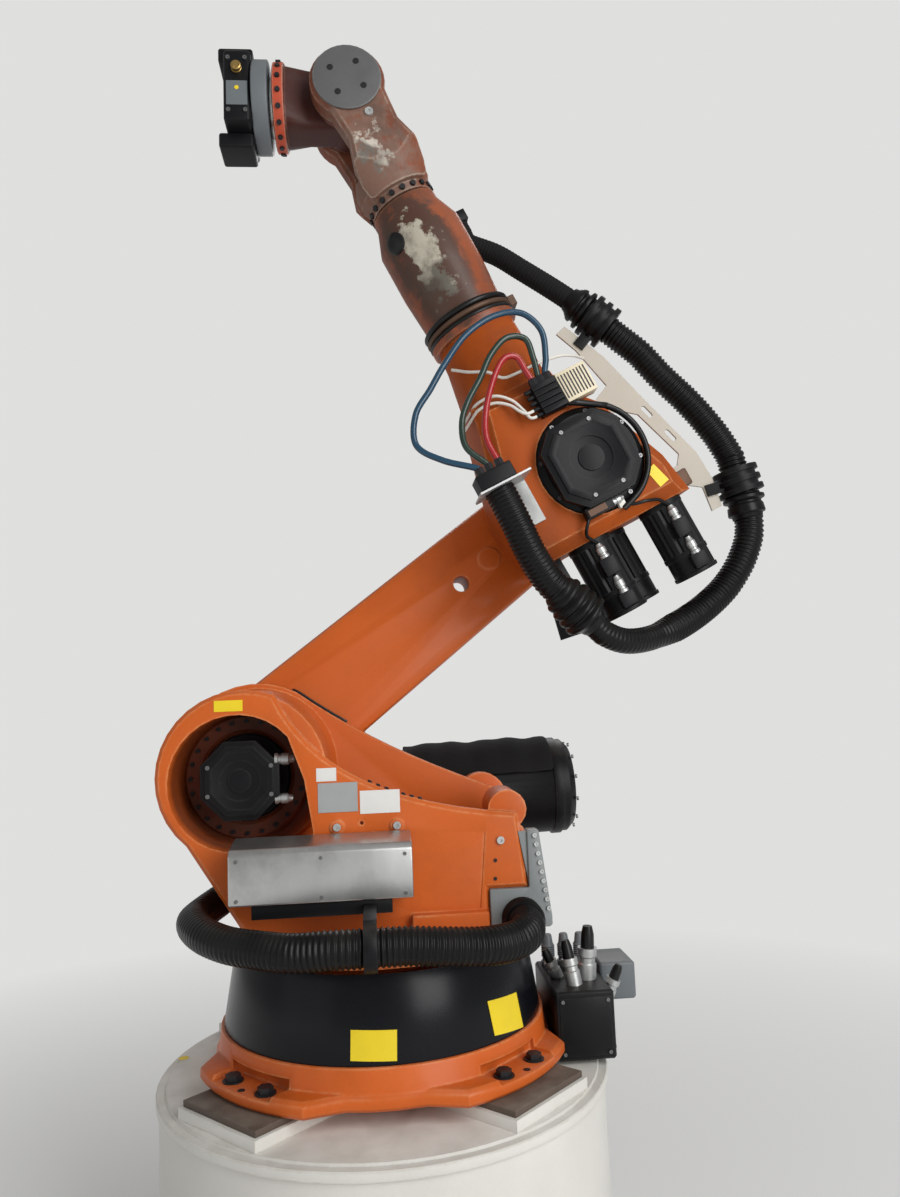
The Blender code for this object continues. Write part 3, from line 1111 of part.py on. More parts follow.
def build_dress_pack(arm_axis, rubber, black, zinc, sheet, cream, colours):
    """Everything that carries cables and air along the arm."""
    build_bracket(arm_axis, sheet)
    inner = PACK_HOSE_RADIUS / cos(pi / SMALL_STEPS) + CLAMP_CLEARANCE
    build_clamp("pack_clamp_rear", arm_axis, REAR_CLAMP_PLACE, REAR_CLAMP_TILT, inner, black)
    build_clamp("pack_clamp_front", arm_axis, FRONT_CLAMP_PLACE, FRONT_CLAMP_TILT, 0, black)
    build_boot(arm_axis, black, rubber)
    build_end_plate(arm_axis, zinc, black, cream)
    build_hose_stop(arm_axis, black)
    hose("pack_hose_loop", PACK_LOOP_POINTS, PACK_HOSE_RADIUS, rubber, arm_axis)
    hose("pack_hose_lower", PACK_LOWER_POINTS, PACK_HOSE_RADIUS, rubber, arm_axis)
    hose("pack_hose_front", FRONT_HOSE_POINTS, FRONT_HOSE_RADIUS, rubber, arm_axis)
    routes = (("blue_hose", BLUE_HOSE_POINTS), ("green_hose", GREEN_HOSE_POINTS),
              ("red_hose", RED_HOSE_POINTS))
    for (name, points), colour in zip(routes, colours):
        hose(name, points, SMALL_HOSE_RADIUS, colour, arm_axis)


def lobe_outline():
    """One lobe of the wrist, from its root behind to the round end about the bending axis."""
    root = WRIST_GAP + WRIST_RING_THICKNESS - TUBE_TO_WRIST
    tip = arc((0, 0), LOBE_RADIUS, radians(-128), radians(128), 22)
    upper = [(LOBE_WAIST_AT, LOBE_WAIST), (WRIST_ROOT_FRONT, LOBE_ROOT), (root, LOBE_ROOT)]
    lower = [(root, -LOBE_ROOT), (WRIST_ROOT_FRONT, -LOBE_ROOT), (LOBE_WAIST_AT, -LOBE_WAIST)]
    return tip + upper + lower


def build_wrist(wrist_axis, worn, grey):
    """Wrist housing that turns about the arm's axis, with its two lobes and round covers."""
    start = SEAT - TUBE_TO_WRIST
    ring = start + WRIST_GAP
    ring_end = ring + WRIST_RING_THICKNESS
    root = [(0, start), (TUBE_END_RADIUS / 2, start), (TUBE_END_RADIUS / 2, ring), (WRIST_RING_RADIUS, ring),
            (WRIST_RING_RADIUS, ring_end), (WRIST_ROOT_RADIUS, ring_end + WRIST_RING_THICKNESS),
            (WRIST_ROOT_RADIUS, WRIST_ROOT_FRONT - WRIST_RING_THICKNESS),
            (LOBE_ROOT, WRIST_ROOT_FRONT), (LOBE_WAIST - WRIST_GAP, WRIST_ROOT_FRONT + WRIST_RING_THICKNESS),
            (0, WRIST_ROOT_FRONT + WRIST_RING_THICKNESS)]
    wrist = stand("wrist_housing", turned(root, "X"), worn, wrist_axis)
    outline = lobe_outline()
    for low, high in ((LOBE_INNER, LOBE_OUTER), (-LOBE_OUTER, -LOBE_INNER)):
        join(wrist, prism(outline, low, high, LOBE_BEVEL, 1))
    start = LOBE_OUTER + SEAT
    for name, low, high in (("wrist_cover_left", start, start + WRIST_COVER_THICKNESS),
                            ("wrist_cover_right", -start - WRIST_COVER_THICKNESS, -start)):
        stand(name, disc(WRIST_COVER_RADIUS, low, high, bevel=WRIST_COVER_THICKNESS / 4), grey, wrist_axis)


def build_hand(hand_axis, dark_red):
    """Hand between the lobes: hub on the bending axis, body and round flange plate."""
    hand = stand("hand", disc(HAND_HUB_RADIUS, -HAND_HALF_WIDTH, HAND_HALF_WIDTH, bevel=WELD_DEPTH),
                 dark_red, hand_axis)
    boss = LOBE_INNER - SEAT
    join(hand, disc(HAND_BOSS_RADIUS, -boss, boss))
    front = HAND_BODY_FRONT + WELD_DEPTH
    body = [(0, 0, 0, HAND_HALF_WIDTH - WELD_DEPTH, HAND_HUB_RADIUS - WELD_DEPTH, 8),
            (LOBE_RADIUS + WRIST_GAP, 0, 0, HAND_HALF_WIDTH - WELD_DEPTH, HAND_BODY_HALF, 8),
            (front, 0, 0, HAND_BODY_HALF + WELD_DEPTH, HAND_BODY_HALF + WELD_DEPTH, 4)]
    join(hand, loft(body, 24))
    join(hand, disc(HAND_FLANGE_RADIUS, HAND_BODY_FRONT, HAND_BODY_FRONT + HAND_FLANGE_THICKNESS, "X",
                    bevel=WELD_DEPTH / 2))


def build_flange(flange_axis, steel, black, grey):
    """Turning flange and the robot side of the tool changer with its two side modules."""
    hand_front = HAND_BODY_FRONT + HAND_FLANGE_THICKNESS - FLANGE_REACH
    start = hand_front + SEAT
    end = start + FLANGE_THICKNESS
    stand("mounting_flange", disc(FLANGE_RADIUS, start, end, "X"), steel, flange_axis)
    plate_start = end + SEAT
    plate_end = plate_start + CHANGER_PLATE_THICKNESS
    stand("changer_adapter_plate",
          disc(CHANGER_PLATE_RADIUS, plate_start, plate_end, "X", bevel=WELD_DEPTH / 2), grey, flange_axis)
    half = CHANGER_BODY_HALF
    body_start = plate_end + SEAT
    body_end = body_start + CHANGER_BODY_LENGTH
    body = block((body_start, -half, -half), (body_end, half, half), CHANGER_BEVEL)
    stand("changer_body", body, black, flange_axis)
    for name, side in (("changer_module_top", 1), ("changer_module_bottom", -1)):
        inner, outer = half + SEAT, half + MODULE_HEIGHT
        low, high = sorted((side * inner, side * outer))
        module = block((body_start, -MODULE_WIDTH / 2, low),
                       (body_start + MODULE_LENGTH, MODULE_WIDTH / 2, high),
                       MODULE_BEVEL)
        stand(name, module, black, flange_axis)


def build_robot():
    clear_scene()
    orange = paint("cast_orange", (0.72, 0.16, 0.025), 0.42, 0)
    worn = paint("worn_wrist_paint", (0.36, 0.12, 0.06), 0.5, 0)
    dark_red = paint("dark_red_hand", (0.28, 0.06, 0.035), 0.5, 0)
    black = paint("black_coating", (0.012, 0.012, 0.014), 0.35, 0)
    rubber = paint("hose_rubber", (0.012, 0.012, 0.012), 0.55, 0)
    grey = paint("grey_coating", (0.20, 0.21, 0.22), 0.5, 0)
    sheet = paint("aluminium_sheet", (0.55, 0.56, 0.56), 0.35, 1)
    steel = paint("bright_steel", (0.5, 0.5, 0.5), 0.3, 1)
    white = paint("pedestal_paint", (0.62, 0.60, 0.55), 0.55, 0)
    bare_steel = paint("rusty_bedplate", (0.13, 0.09, 0.07), 0.6, 1)
    zinc = paint("galvanised_sheet", (0.55, 0.56, 0.55), 0.4, 1)
    beige = paint("beige_sheet", (0.42, 0.38, 0.30), 0.5, 0)
    cream = paint("cream_terminal", (0.60, 0.52, 0.36), 0.5, 0)
    colours = [paint("blue_hose_finish", (0.03, 0.12, 0.22), 0.4, 0),
               paint("green_hose_finish", (0.05, 0.11, 0.06), 0.4, 0),
               paint("red_hose_finish", (0.55, 0.06, 0.06), 0.4, 0)]

    floor = joint_empty("floor_point", None, (0, 0, 0), 0)
    ground = joint_empty("base_plane_point", floor, (0, 0, BASE_PLANE), 0)
    turning = joint_empty("column_axis", ground, (0, 0, 0), 0)
    link_axis = joint_empty("link_axis", turning, (SHOULDER_REACH, 0, SHOULDER_HEIGHT), -LINK_ANGLE)
    arm_axis = joint_empty("arm_axis", link_axis, (LINK_LENGTH, 0, 0), LINK_ANGLE - ARM_ANGLE)
    wrist_axis = joint_empty("wrist_axis", arm_axis, (ARM_LENGTH, 0, -ARM_OFFSET), 0)
    hand_axis = joint_empty("hand_axis", wrist_axis, (0, 0, 0), ARM_ANGLE - HAND_ANGLE)
    flange_axis = joint_empty("flange_axis", hand_axis, (FLANGE_REACH, 0, 0), 0)
    pin_x, pin_z = crank_pin()
    lean = atan2(pin_z - TRUNNION_HEIGHT, pin_x + TRUNNION_BACK)
    barrel_axis = joint_empty("counterbalance_axis", turning,
                              (-TRUNNION_BACK, COUNTER_Y, TRUNNION_HEIGHT), -lean)

    build_pedestal(floor, white, bare_steel)
    build_base(ground, orange, black, grey)
    build_column(turning, orange)
    build_shoulder_motor(turning, black)
    build_side_box(turning, sheet, grey)
    build_rear_plate(turning, grey, rubber)
    build_loop(turning, rubber, black)
    build_counterbalance(turning, barrel_axis, orange, black, steel)
    build_link(link_axis, orange)
    build_upper_arm(arm_axis, orange, black)
    build_dress_pack(arm_axis, rubber, black, zinc, beige, cream, colours)
    build_wrist(wrist_axis, worn, grey)
    build_hand(hand_axis, dark_red)
    build_flange(flange_axis, steel, black, grey)


build_robot()
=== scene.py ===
"""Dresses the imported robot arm: finer castings, hoses, motors, fasteners, finishes and the stage."""

import json
from math import atan2, cos, pi, radians, sin

import bmesh
import bpy
from bpy.props import FloatProperty, FloatVectorProperty, PointerProperty
from mathutils import Matrix, Vector
from mathutils.bvhtree import BVHTree

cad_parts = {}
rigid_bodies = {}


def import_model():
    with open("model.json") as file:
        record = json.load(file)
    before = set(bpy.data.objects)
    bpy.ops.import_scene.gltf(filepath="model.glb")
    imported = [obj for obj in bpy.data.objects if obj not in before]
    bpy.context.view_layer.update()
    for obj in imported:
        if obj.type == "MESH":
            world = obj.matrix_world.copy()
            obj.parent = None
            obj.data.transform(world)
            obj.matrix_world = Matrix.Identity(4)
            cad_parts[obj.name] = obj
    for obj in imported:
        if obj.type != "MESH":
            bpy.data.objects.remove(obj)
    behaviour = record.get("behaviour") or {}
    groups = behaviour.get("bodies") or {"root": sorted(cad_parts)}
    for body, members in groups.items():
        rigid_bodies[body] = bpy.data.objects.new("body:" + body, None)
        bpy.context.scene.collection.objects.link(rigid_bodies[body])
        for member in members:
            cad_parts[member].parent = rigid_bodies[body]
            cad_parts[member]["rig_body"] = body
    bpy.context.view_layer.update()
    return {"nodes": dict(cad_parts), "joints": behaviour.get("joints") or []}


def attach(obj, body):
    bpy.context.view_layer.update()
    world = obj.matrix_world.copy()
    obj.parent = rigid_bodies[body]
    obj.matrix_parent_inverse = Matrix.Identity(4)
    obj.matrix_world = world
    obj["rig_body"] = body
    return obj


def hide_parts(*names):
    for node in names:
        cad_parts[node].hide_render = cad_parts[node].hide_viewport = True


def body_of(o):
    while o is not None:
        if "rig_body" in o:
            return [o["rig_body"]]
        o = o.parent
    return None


bl_info = {
    "name": "Robot arm dressing",
    "version": (1, 0, 0),
    "blender": (4, 5, 0),
    "location": "3D View > Sidebar > Robot arm",
    "description": "Builds the looks of the six-axis arm around its packed solids",
    "category": "Object",
}

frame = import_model()
JOINTS = {joint["name"]: joint for joint in frame["joints"]}


def joint_frame(name, angle=0.0):
    """A frame at a packed joint, tilted about the Y axis."""
    return Matrix.Translation(JOINTS[name]["pos_m"]) @ Matrix.Rotation(-angle, 4, "Y")


# Frames that the details are given in; the two angles are those of the rest pose
DATUM = JOINTS["column_turn"]["pos_m"][2]
SHOULDER = Vector(JOINTS["link_swing"]["pos_m"])
LINK_ANGLE = radians(139.4)
ARM_ANGLE = radians(63.6)
ROD_WAY = JOINTS["rod_slide"]["axis"]
GROUND = Matrix.Identity(4)
COLUMN = Matrix.Translation((0, 0, DATUM))
ARM = joint_frame("elbow_swing", ARM_ANGLE)
WRIST_ARM = joint_frame("wrist_bend", ARM_ANGLE)
HAND = joint_frame("wrist_bend")
LOCAL = {
    "base": COLUMN,
    "column": COLUMN,
    "cylinder": joint_frame("cylinder_swing", atan2(ROD_WAY[2], ROD_WAY[0])),
    "link": joint_frame("link_swing", LINK_ANGLE),
    "arm": ARM,
    "wrist": WRIST_ARM,
    "hand": HAND,
    "flange": HAND,
}

# Sizes in metres that several pieces share, and ways to face
SEAT = 0.0003
ARM_OFFSET = 0.055
SHOULDER_IN_COLUMN = (0.35, 0, 0.75)
FINE = 96
NEAR, FAR, DOWN = (0, 1, 0), (0, -1, 0), (0, 0, -1)


def colour(name, value, about):
    return FloatVectorProperty(name=name, description=about, subtype="COLOR", size=3, min=0, max=1, default=value)


def size(name, value, about, low=0.0001, high=2.0):
    return FloatProperty(name=name, description=about, default=value, min=low, max=high, unit="LENGTH", precision=4)


class ArmColours(bpy.types.PropertyGroup):
    """Colours of the finishes."""
    orange: colour("Orange paint", (0.57, 0.110, 0.015), "Paint of the castings")
    # The tube's colour is darker and browner than the castings': worn, dirty paint, and partly painted shade for
    # the dimmer light up the arm
    arm: colour("Arm paint", (0.265, 0.064, 0.021), "Duller paint of the tube")
    worn: colour("Worn paint", (0.20, 0.058, 0.028), "Rubbed brown paint of the wrist")
    dark_red: colour("Hand paint", (0.060, 0.0155, 0.012), "Dull dark red paint of the hand")
    bare: colour("Bare metal", (0.50, 0.46, 0.37), "Metal where the paint is scraped off")
    black: colour("Black coating", (0.0065, 0.0068, 0.0078), "Coating of motors and clamps")
    gloss: colour("Skirt coating", (0.0045, 0.005, 0.007), "Glossy black of the skirt")
    rubber: colour("Hose rubber", (0.006, 0.006, 0.006), "Corrugated hose")
    textile: colour("Textile sleeve", (0.008, 0.008, 0.008), "Woven cover and wrapped hose")
    grey: colour("Grey coating", (0.135, 0.15, 0.16), "Covers, plates and brackets")
    pedestal: colour("Pedestal paint", (0.68, 0.665, 0.62), "Off-white paint of the pedestal")
    bedplate: colour("Bedplate steel", (0.105, 0.075, 0.058), "Brown steel under the base corners")
    steel: colour("Bright steel", (0.55, 0.55, 0.54), "Turned steel and the sheet box")
    beige: colour("Beige sheet", (0.47, 0.43, 0.36), "Slotted sheet bracket")
    cream: colour("Terminal plastic", (0.66, 0.58, 0.42), "Moulded terminal block")
    yellow: colour("Plain plates", (0.80, 0.60, 0.02), "Bare yellow plates")
    blue: colour("Blue hose", (0.012, 0.052, 0.095), "Air hose")
    green: colour("Green hose", (0.017, 0.036, 0.026), "Air hose")
    red: colour("Red hose", (0.33, 0.014, 0.017), "Air hose")
    dust: colour("Dust", (0.36, 0.32, 0.26), "Settled dust")


class ArmSizes(bpy.types.PropertyGroup):
    """Sizes of the dressing that a user would change."""
    edge: size("Cast edge radius", 0.006, "Radius on the castings' edges")
    rib_pitch: size("Hose rib pitch", 0.0125, "Distance between ribs of the corrugated hose")
    rib_depth: size("Hose rib depth", 0.0045, "Depth of the grooves in the corrugated hose")
    base_head: size("Base bolt head", 0.0185, "Half width of the base bolts across corners")
    base_washer: size("Base washer", 0.0250, "Radius of the black washers on the base")


class StageSettings(bpy.types.PropertyGroup):
    """Floor, light and camera."""
    floor: colour("Floor", (0.74, 0.74, 0.73), "Pale floor and background")
    half_floor: size("Floor half width", 9.0, "Half of the floor's side", 1, 50)
    key_power: FloatProperty(name="Key light", description="Power of the large front light in watts", default=180)
    fill_power: FloatProperty(name="Fill light", description="Power of the side light in watts", default=14)
    rim_power: FloatProperty(name="Rim light", description="Power of the rear light in watts", default=70)
    world_light: FloatProperty(name="Sky light", description="Strength of the even light from all sides",
                               default=0.35)
    camera_back: size("Camera distance", 2.5685, "Camera's distance in front of the arm's middle plane", 0.5, 20)
    focal_length: FloatProperty(name="Focal length", description="In millimetres on a 36 mm high sensor",
                                default=27.445)


# Mesh making

def on_axis(axis, a, b, height):
    """A point at (a, b) across an axis and at a height along it."""
    return {"X": (height, a, b), "Y": (a, height, b), "Z": (a, b, height)}[axis]


def arc(centre, radius, start, end, steps):
    turns = [start + (end - start) * i / steps for i in range(steps + 1)]
    return [(centre[0] + radius * cos(t), centre[1] + radius * sin(t)) for t in turns]


def to_mesh(bm, clean=True):
    """Keeps a bmesh as a mesh, welded and with its faces outwards when clean."""
    if clean:
        bmesh.ops.remove_doubles(bm, verts=bm.verts, dist=1e-6)
        bmesh.ops.recalc_face_normals(bm, faces=bm.faces)
    mesh = bpy.data.meshes.new("shape")
    bm.to_mesh(mesh)
    bm.free()
    return mesh


def prism(outline, low, high, axis="Y"):
    """Extrudes an outline: X-Z along Y, X-Y along Z, or Y-Z along X."""
    bm = bmesh.new()
    ends = [[bm.verts.new(on_axis(axis, a, b, h)) for a, b in outline] for h in (low, high)]
    bm.faces.new(ends[0])
    bm.faces.new(ends[1][::-1])
    for i in range(len(outline)):
        j = (i + 1) % len(outline)
        bm.faces.new((ends[0][i], ends[0][j], ends[1][j], ends[1][i]))
    return to_mesh(bm)


def slab(low, high):
    x, y, z = zip(low, high)
    return prism([(x[0], y[0]), (x[1], y[0]), (x[1], y[1]), (x[0], y[1])], z[0], z[1], "Z")


def turned(profile, axis="Z", centre=(0, 0, 0), steps=FINE):
    """Turns (radius, height) points about an axis through the centre."""
    bm = bmesh.new()
    rings = []
    for radius, height in profile:
        ring = []
        for i in range(steps if radius > 0 else 1):
            turn = 2 * pi * i / steps
            spot = on_axis(axis, radius * cos(turn), radius * sin(turn), height)
            ring.append(bm.verts.new(Vector(spot) + Vector(centre)))
        rings.append(ring)
    pairs = list(zip(rings, rings[1:]))
    if profile[0][0] > 0:
        pairs.append((rings[-1], rings[0]))
    for first, second in pairs:
        for i in range(steps):
            corners = [first[i % len(first)], first[(i + 1) % len(first)],
                       second[(i + 1) % len(second)], second[i % len(second)]]
            bm.faces.new(list(dict.fromkeys(corners)))
    return to_mesh(bm)


def disc(radius, low, high, axis="Y", centre=(0, 0, 0), steps=FINE, ease=0):
    """A round solid, with rounded rims where ease is given."""
    if not ease:
        return turned([(0, low), (radius, low), (radius, high), (0, high)], axis, centre, steps)
    near = arc((radius - ease, low + ease), ease, -pi / 2, 0, 3)
    far = arc((radius - ease, high - ease), ease, 0, pi / 2, 3)
    return turned([(0, low)] + near + far + [(0, high)], axis, centre, steps)


def smooth_route(points, step):
    """Even points on a smooth curve through a route, straight at both ends."""
    places = [Vector(p) for p in points]
    fine = [places[0]]
    for i in range(len(places) - 1):
        before = places[max(i - 1, 0)]
        start, end = places[i], places[i + 1]
        after = places[min(i + 2, len(places) - 1)]
        lead_in, lead_out = start + (end - before) / 6, end - (after - start) / 6
        if i in (0, len(places) - 2):
            lead_in, lead_out = start.lerp(end, 1 / 3), start.lerp(end, 2 / 3)
        for k in range(1, 25):
            t = k / 24
            fine.append(start * (1 - t) ** 3 + 3 * lead_in * t * (1 - t) ** 2
                        + 3 * lead_out * t * t * (1 - t) + end * t ** 3)
    travelled = [0]
    for a, b in zip(fine, fine[1:]):
        travelled.append(travelled[-1] + (b - a).length)
    count = max(2, round(travelled[-1] / step))
    route, k = [], 0
    for i in range(count + 1):
        at = travelled[-1] * i / count
        while k < len(travelled) - 2 and travelled[k + 1] < at:
            k += 1
        share = (at - travelled[k]) / max(travelled[k + 1] - travelled[k], 1e-9)
        route.append(fine[k].lerp(fine[k + 1], min(share, 1)))
    return route


def tube(points, radius, step, sides):
    """A closed tube along a route."""
    route = smooth_route(points, step)
    bm = bmesh.new()
    rings = []
    up = Vector((0, 0, 1)) if abs((route[1] - route[0]).normalized().z) < 0.9 else Vector((0, 1, 0))
    for i, place in enumerate(route):
        way = (route[min(i + 1, len(route) - 1)] - route[max(i - 1, 0)]).normalized()
        side = way.cross(up).normalized()
        up = side.cross(way).normalized()
        turns = [2 * pi * k / sides for k in range(sides)]
        rings.append([bm.verts.new(place + radius * (cos(t) * side + sin(t) * up)) for t in turns])
    for first, second in zip(rings, rings[1:]):
        for k in range(sides):
            j = (k + 1) % sides
            bm.faces.new((first[k], first[j], second[j], second[k]))
    bm.faces.new(rings[0])
    bm.faces.new(rings[-1])
    return to_mesh(bm)


def scratch(data, name="shape"):
    piece = bpy.data.objects.new(name, data)
    bpy.context.scene.collection.objects.link(piece)
    return piece


def baked(piece, *tools):
    """The mesh of a piece with its modifiers in it; the piece and its tools go."""
    view = bpy.context.evaluated_depsgraph_get()
    mesh = bpy.data.meshes.new_from_object(piece.evaluated_get(view))
    for spare in (*tools, piece):
        bpy.data.objects.remove(spare, do_unlink=True)
    return mesh


def carve(first, added=(), removed=()):
    """Joins meshes to the first and cuts others away, exactly."""
    piece = scratch(first)
    tools = []
    for mesh, operation in [(m, "UNION") for m in added] + [(m, "DIFFERENCE") for m in removed]:
        tools.append(scratch(mesh))
        modifier = piece.modifiers.new(operation, "BOOLEAN")
        modifier.operation, modifier.solver, modifier.object = operation, "EXACT", tools[-1]
    return baked(piece, *tools)


def rounded(mesh, width, segments=2):
    """Rounds the edges of a mesh with a Bevel modifier."""
    piece = scratch(mesh)
    modifier = piece.modifiers.new("rounded_edges", "BEVEL")
    modifier.width, modifier.segments = width, segments
    modifier.limit_method, modifier.angle_limit = "ANGLE", radians(28)
    modifier.miter_outer = "MITER_ARC"
    modifier.use_clamp_overlap = True
    return baked(piece)


def box(low, high, edge=0.0005, segments=1):
    return rounded(slab(low, high), edge, segments)


def joined(meshes):
    """Puts several separate meshes into one."""
    bm = bmesh.new()
    for mesh in meshes:
        bm.from_mesh(mesh)
    return to_mesh(bm, clean=False)


def moved(mesh, where):
    mesh.transform(where)
    return mesh


def piece_of(name, mesh, finish, body, where=None, node_name=None, smooth=35):
    """Stands a mesh, given in its body's frame, in the scene as one piece that rides on the body."""
    mesh = moved(mesh.copy(), LOCAL[body] if where is None else where)
    mesh.name = name
    mesh.materials.clear()
    mesh.materials.append(FINISHES[finish])
    mesh.shade_smooth()
    mesh.set_sharp_from_angle(angle=radians(smooth))
    piece = scratch(mesh, name)
    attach(piece, body)
    if node_name:
        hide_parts(node_name)
    return piece


def node_mesh(name):
    """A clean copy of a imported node's mesh: welded, with flat faces made whole."""
    bm = bmesh.new()
    bm.from_mesh(frame["nodes"][name].data)
    bmesh.ops.remove_doubles(bm, verts=bm.verts, dist=2e-6)
    bmesh.ops.dissolve_limit(bm, angle_limit=radians(0.4), verts=bm.verts, edges=bm.edges)
    return to_mesh(bm, clean=False)


def refined(node_name, finish, edge=0.003, segments=2, name=None, added=(), removed=()):
    """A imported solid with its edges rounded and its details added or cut, in its place."""
    mesh = node_mesh(node_name)
    if added or removed:
        mesh = carve(mesh, added, removed)
    if edge:
        mesh = rounded(mesh, edge, segments)
    body = body_of(frame["nodes"][node_name])
    body = body if isinstance(body, str) else body[0]
    return piece_of(name or f"{node_name}_dressed", mesh, finish, body, GROUND, node_name)


def hits(node_name, starts, way):
    """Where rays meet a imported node, and how its surface faces there."""
    mesh = frame["nodes"][node_name].data
    tree = BVHTree.FromPolygons([v.co for v in mesh.vertices], [f.vertices for f in mesh.polygons])
    struck = [tree.ray_cast(Vector(start), Vector(way))[:2] for start in starts]
    return [(place, facing) for place, facing in struck if place is not None]


def strip(points, thick, low, high):
    """A thin standing strip along a line of points."""
    places = [Vector(p) for p in points]
    sides = [[], []]
    for i, place in enumerate(places):
        way = (places[min(i + 1, len(places) - 1)] - places[max(i - 1, 0)]).normalized()
        across = Vector((-way.y, way.x)) * thick / 2
        sides[0].append(tuple(place + across))
        sides[1].append(tuple(place - across))
    return prism(sides[0] + sides[1][::-1], low, high)


def shell(rows, thick):
    """A bent sheet of even thickness through a grid of points."""
    bm = bmesh.new()
    grid = [[bm.verts.new(p) for p in row] for row in rows]
    for first, second in zip(grid, grid[1:]):
        for i in range(len(first) - 1):
            bm.faces.new((first[i], first[i + 1], second[i + 1], second[i]))
    piece = scratch(to_mesh(bm, clean=False))
    modifier = piece.modifiers.new("thickness", "SOLIDIFY")
    modifier.thickness, modifier.offset = thick, 0
    smoothed = piece.modifiers.new("smooth", "SUBSURF")
    smoothed.levels = smoothed.render_levels = 1
    bm = bmesh.new()
    bm.from_mesh(baked(piece))
    bmesh.ops.recalc_face_normals(bm, faces=bm.faces)
    return to_mesh(bm, clean=False)


def fluted(radius, depth, count, centre):
    """A round outline with count grooves along it."""
    points = []
    for i in range(count * 4):
        reach = radius - (depth if i % 4 == 0 else 0)
        turn = 2 * pi * i / (count * 4)
        points.append((centre[0] + reach * cos(turn), centre[1] + reach * sin(turn)))
    return points


def curved_plate(corners, thick, round_at):
    """A plate bent onto a cone: corners are (turn in degrees, height), round_at a radius at a height."""
    bm = bmesh.new()
    columns, rows, clear = 12, 3, 0.0004
    grid = {}
    for layer, lift in enumerate((clear, clear + thick)):
        for i in range(columns + 1):
            for j in range(rows + 1):
                a, b = i / columns, j / rows
                shares = ((1 - a) * (1 - b), a * (1 - b), a * b, (1 - a) * b)
                turn = radians(sum(k * c[0] for k, c in zip(shares, corners)))
                height = sum(k * c[1] for k, c in zip(shares, corners))
                reach = round_at(height) + lift
                grid[layer, i, j] = bm.verts.new((reach * cos(turn), reach * sin(turn), height))

    def face(*corners):
        bm.faces.new([grid[corner] for corner in corners])

    for i in range(columns):
        for j in range(rows):
            for layer in (0, 1):
                face((layer, i, j), (layer, i + 1, j), (layer, i + 1, j + 1), (layer, i, j + 1))
    for i in range(columns):
        for j in (0, rows):
            face((0, i, j), (0, i + 1, j), (1, i + 1, j), (1, i, j))
    for j in range(rows):
        for i in (0, columns):
            face((0, i, j), (0, i, j + 1), (1, i, j + 1), (1, i, j))
    return to_mesh(bm)


def aimed(profile, start, end, steps=40):
    """A turned solid whose axis runs from start towards end."""
    turn = (Vector(end) - Vector(start)).to_track_quat("X", "Z").to_matrix().to_4x4()
    return moved(turned(profile, "X", steps=steps), Matrix.Translation(start) @ turn)


def ring_spots(radius, count, axis="Y", height=0, start=0, way=1, centre=(0, 0, 0), outward=False):
    """Places round a circle, with the way they face: along the axis, or outward from it."""
    spots = []
    for i in range(count):
        turn = start + 2 * pi * i / count
        place = on_axis(axis, radius * cos(turn), radius * sin(turn), height)
        facing = on_axis(axis, cos(turn), sin(turn), 0) if outward else on_axis(axis, 0, 0, way)
        spots.append((tuple(p + c for p, c in zip(place, centre)), facing))
    return spots


def grid_spots(xs, ys, zs, way):
    """Places in a grid, with the way they face."""
    return [((x, y, z), way) for x in xs for y in ys for z in zs]


def octagon(half, corner, centre):
    """A square with its corners cut, about a centre."""
    marks = [(half, corner), (corner, half), (-corner, half), (-half, corner),
             (-half, -corner), (-corner, -half), (corner, -half), (half, -corner)]
    return [(centre[0] + a, centre[1] + b) for a, b in marks]


def ribbed_profile(radius, depth, start, end, count):
    """A round profile with count rounded ribs between two heights."""
    steps = count * 6
    ribs = [(radius - depth * (0.5 + 0.5 * cos(2 * pi * i / 6)), start + (end - start) * i / steps)
            for i in range(steps + 1)]
    return [(0, start)] + ribs + [(0, end)]


# Nodes

def add(tree, kind, values=None, **settings):
    """Adds a node, sets its own settings and its sockets, and links what is a socket."""
    made = tree.nodes.new(kind)
    for key, value in settings.items():
        setattr(made, key, value)
    for key, value in (values or {}).items():
        if isinstance(value, bpy.types.NodeSocket):
            tree.links.new(value, made.inputs[key])
        else:
            made.inputs[key].default_value = value
    return made


def node(tree, kind, values=None, **settings):
    return add(tree, f"ShaderNode{kind}", values, **settings)


def geo(tree, kind, values=None, **settings):
    return add(tree, f"GeometryNode{kind}", values, **settings)


def group(name, inputs, outputs, kind="ShaderNodeTree"):
    """An empty node group: its tree, what its inputs give, and its output node."""
    tree = bpy.data.node_groups.new(name, kind)
    for label, sort, value in inputs:
        made = tree.interface.new_socket(name=label, in_out="INPUT", socket_type=f"NodeSocket{sort}")
        if value is not None:
            made.default_value = value
    for label, sort in outputs:
        tree.interface.new_socket(name=label, in_out="OUTPUT", socket_type=f"NodeSocket{sort}")
    return tree, tree.nodes.new("NodeGroupInput").outputs, tree.nodes.new("NodeGroupOutput")


def mix(tree, factor, first, second):
    return node(tree, "Mix", {0: factor, 6: first, 7: second}, data_type="RGBA").outputs[2]


def maths(tree, operation, first, second=0.5, third=None, clamp=False):
    values = {0: first, 1: second} if third is None else {0: first, 1: second, 2: third}
    return node(tree, "Math", values, operation=operation, use_clamp=clamp).outputs[0]


def times(tree, first, second, clamp=False):
    return maths(tree, "MULTIPLY", first, second, clamp=clamp)


def ramp(tree, value, low, high):
    """Maps low..high to 0..1 and clamps it."""
    return node(tree, "MapRange", {0: value, 1: low, 2: high}, clamp=True).outputs[0]


def noise(tree, place, scale, detail, roughness=0.5):
    values = {"Vector": place, "Scale": scale, "Detail": detail, "Roughness": roughness}
    return node(tree, "TexNoise", values).outputs[0]


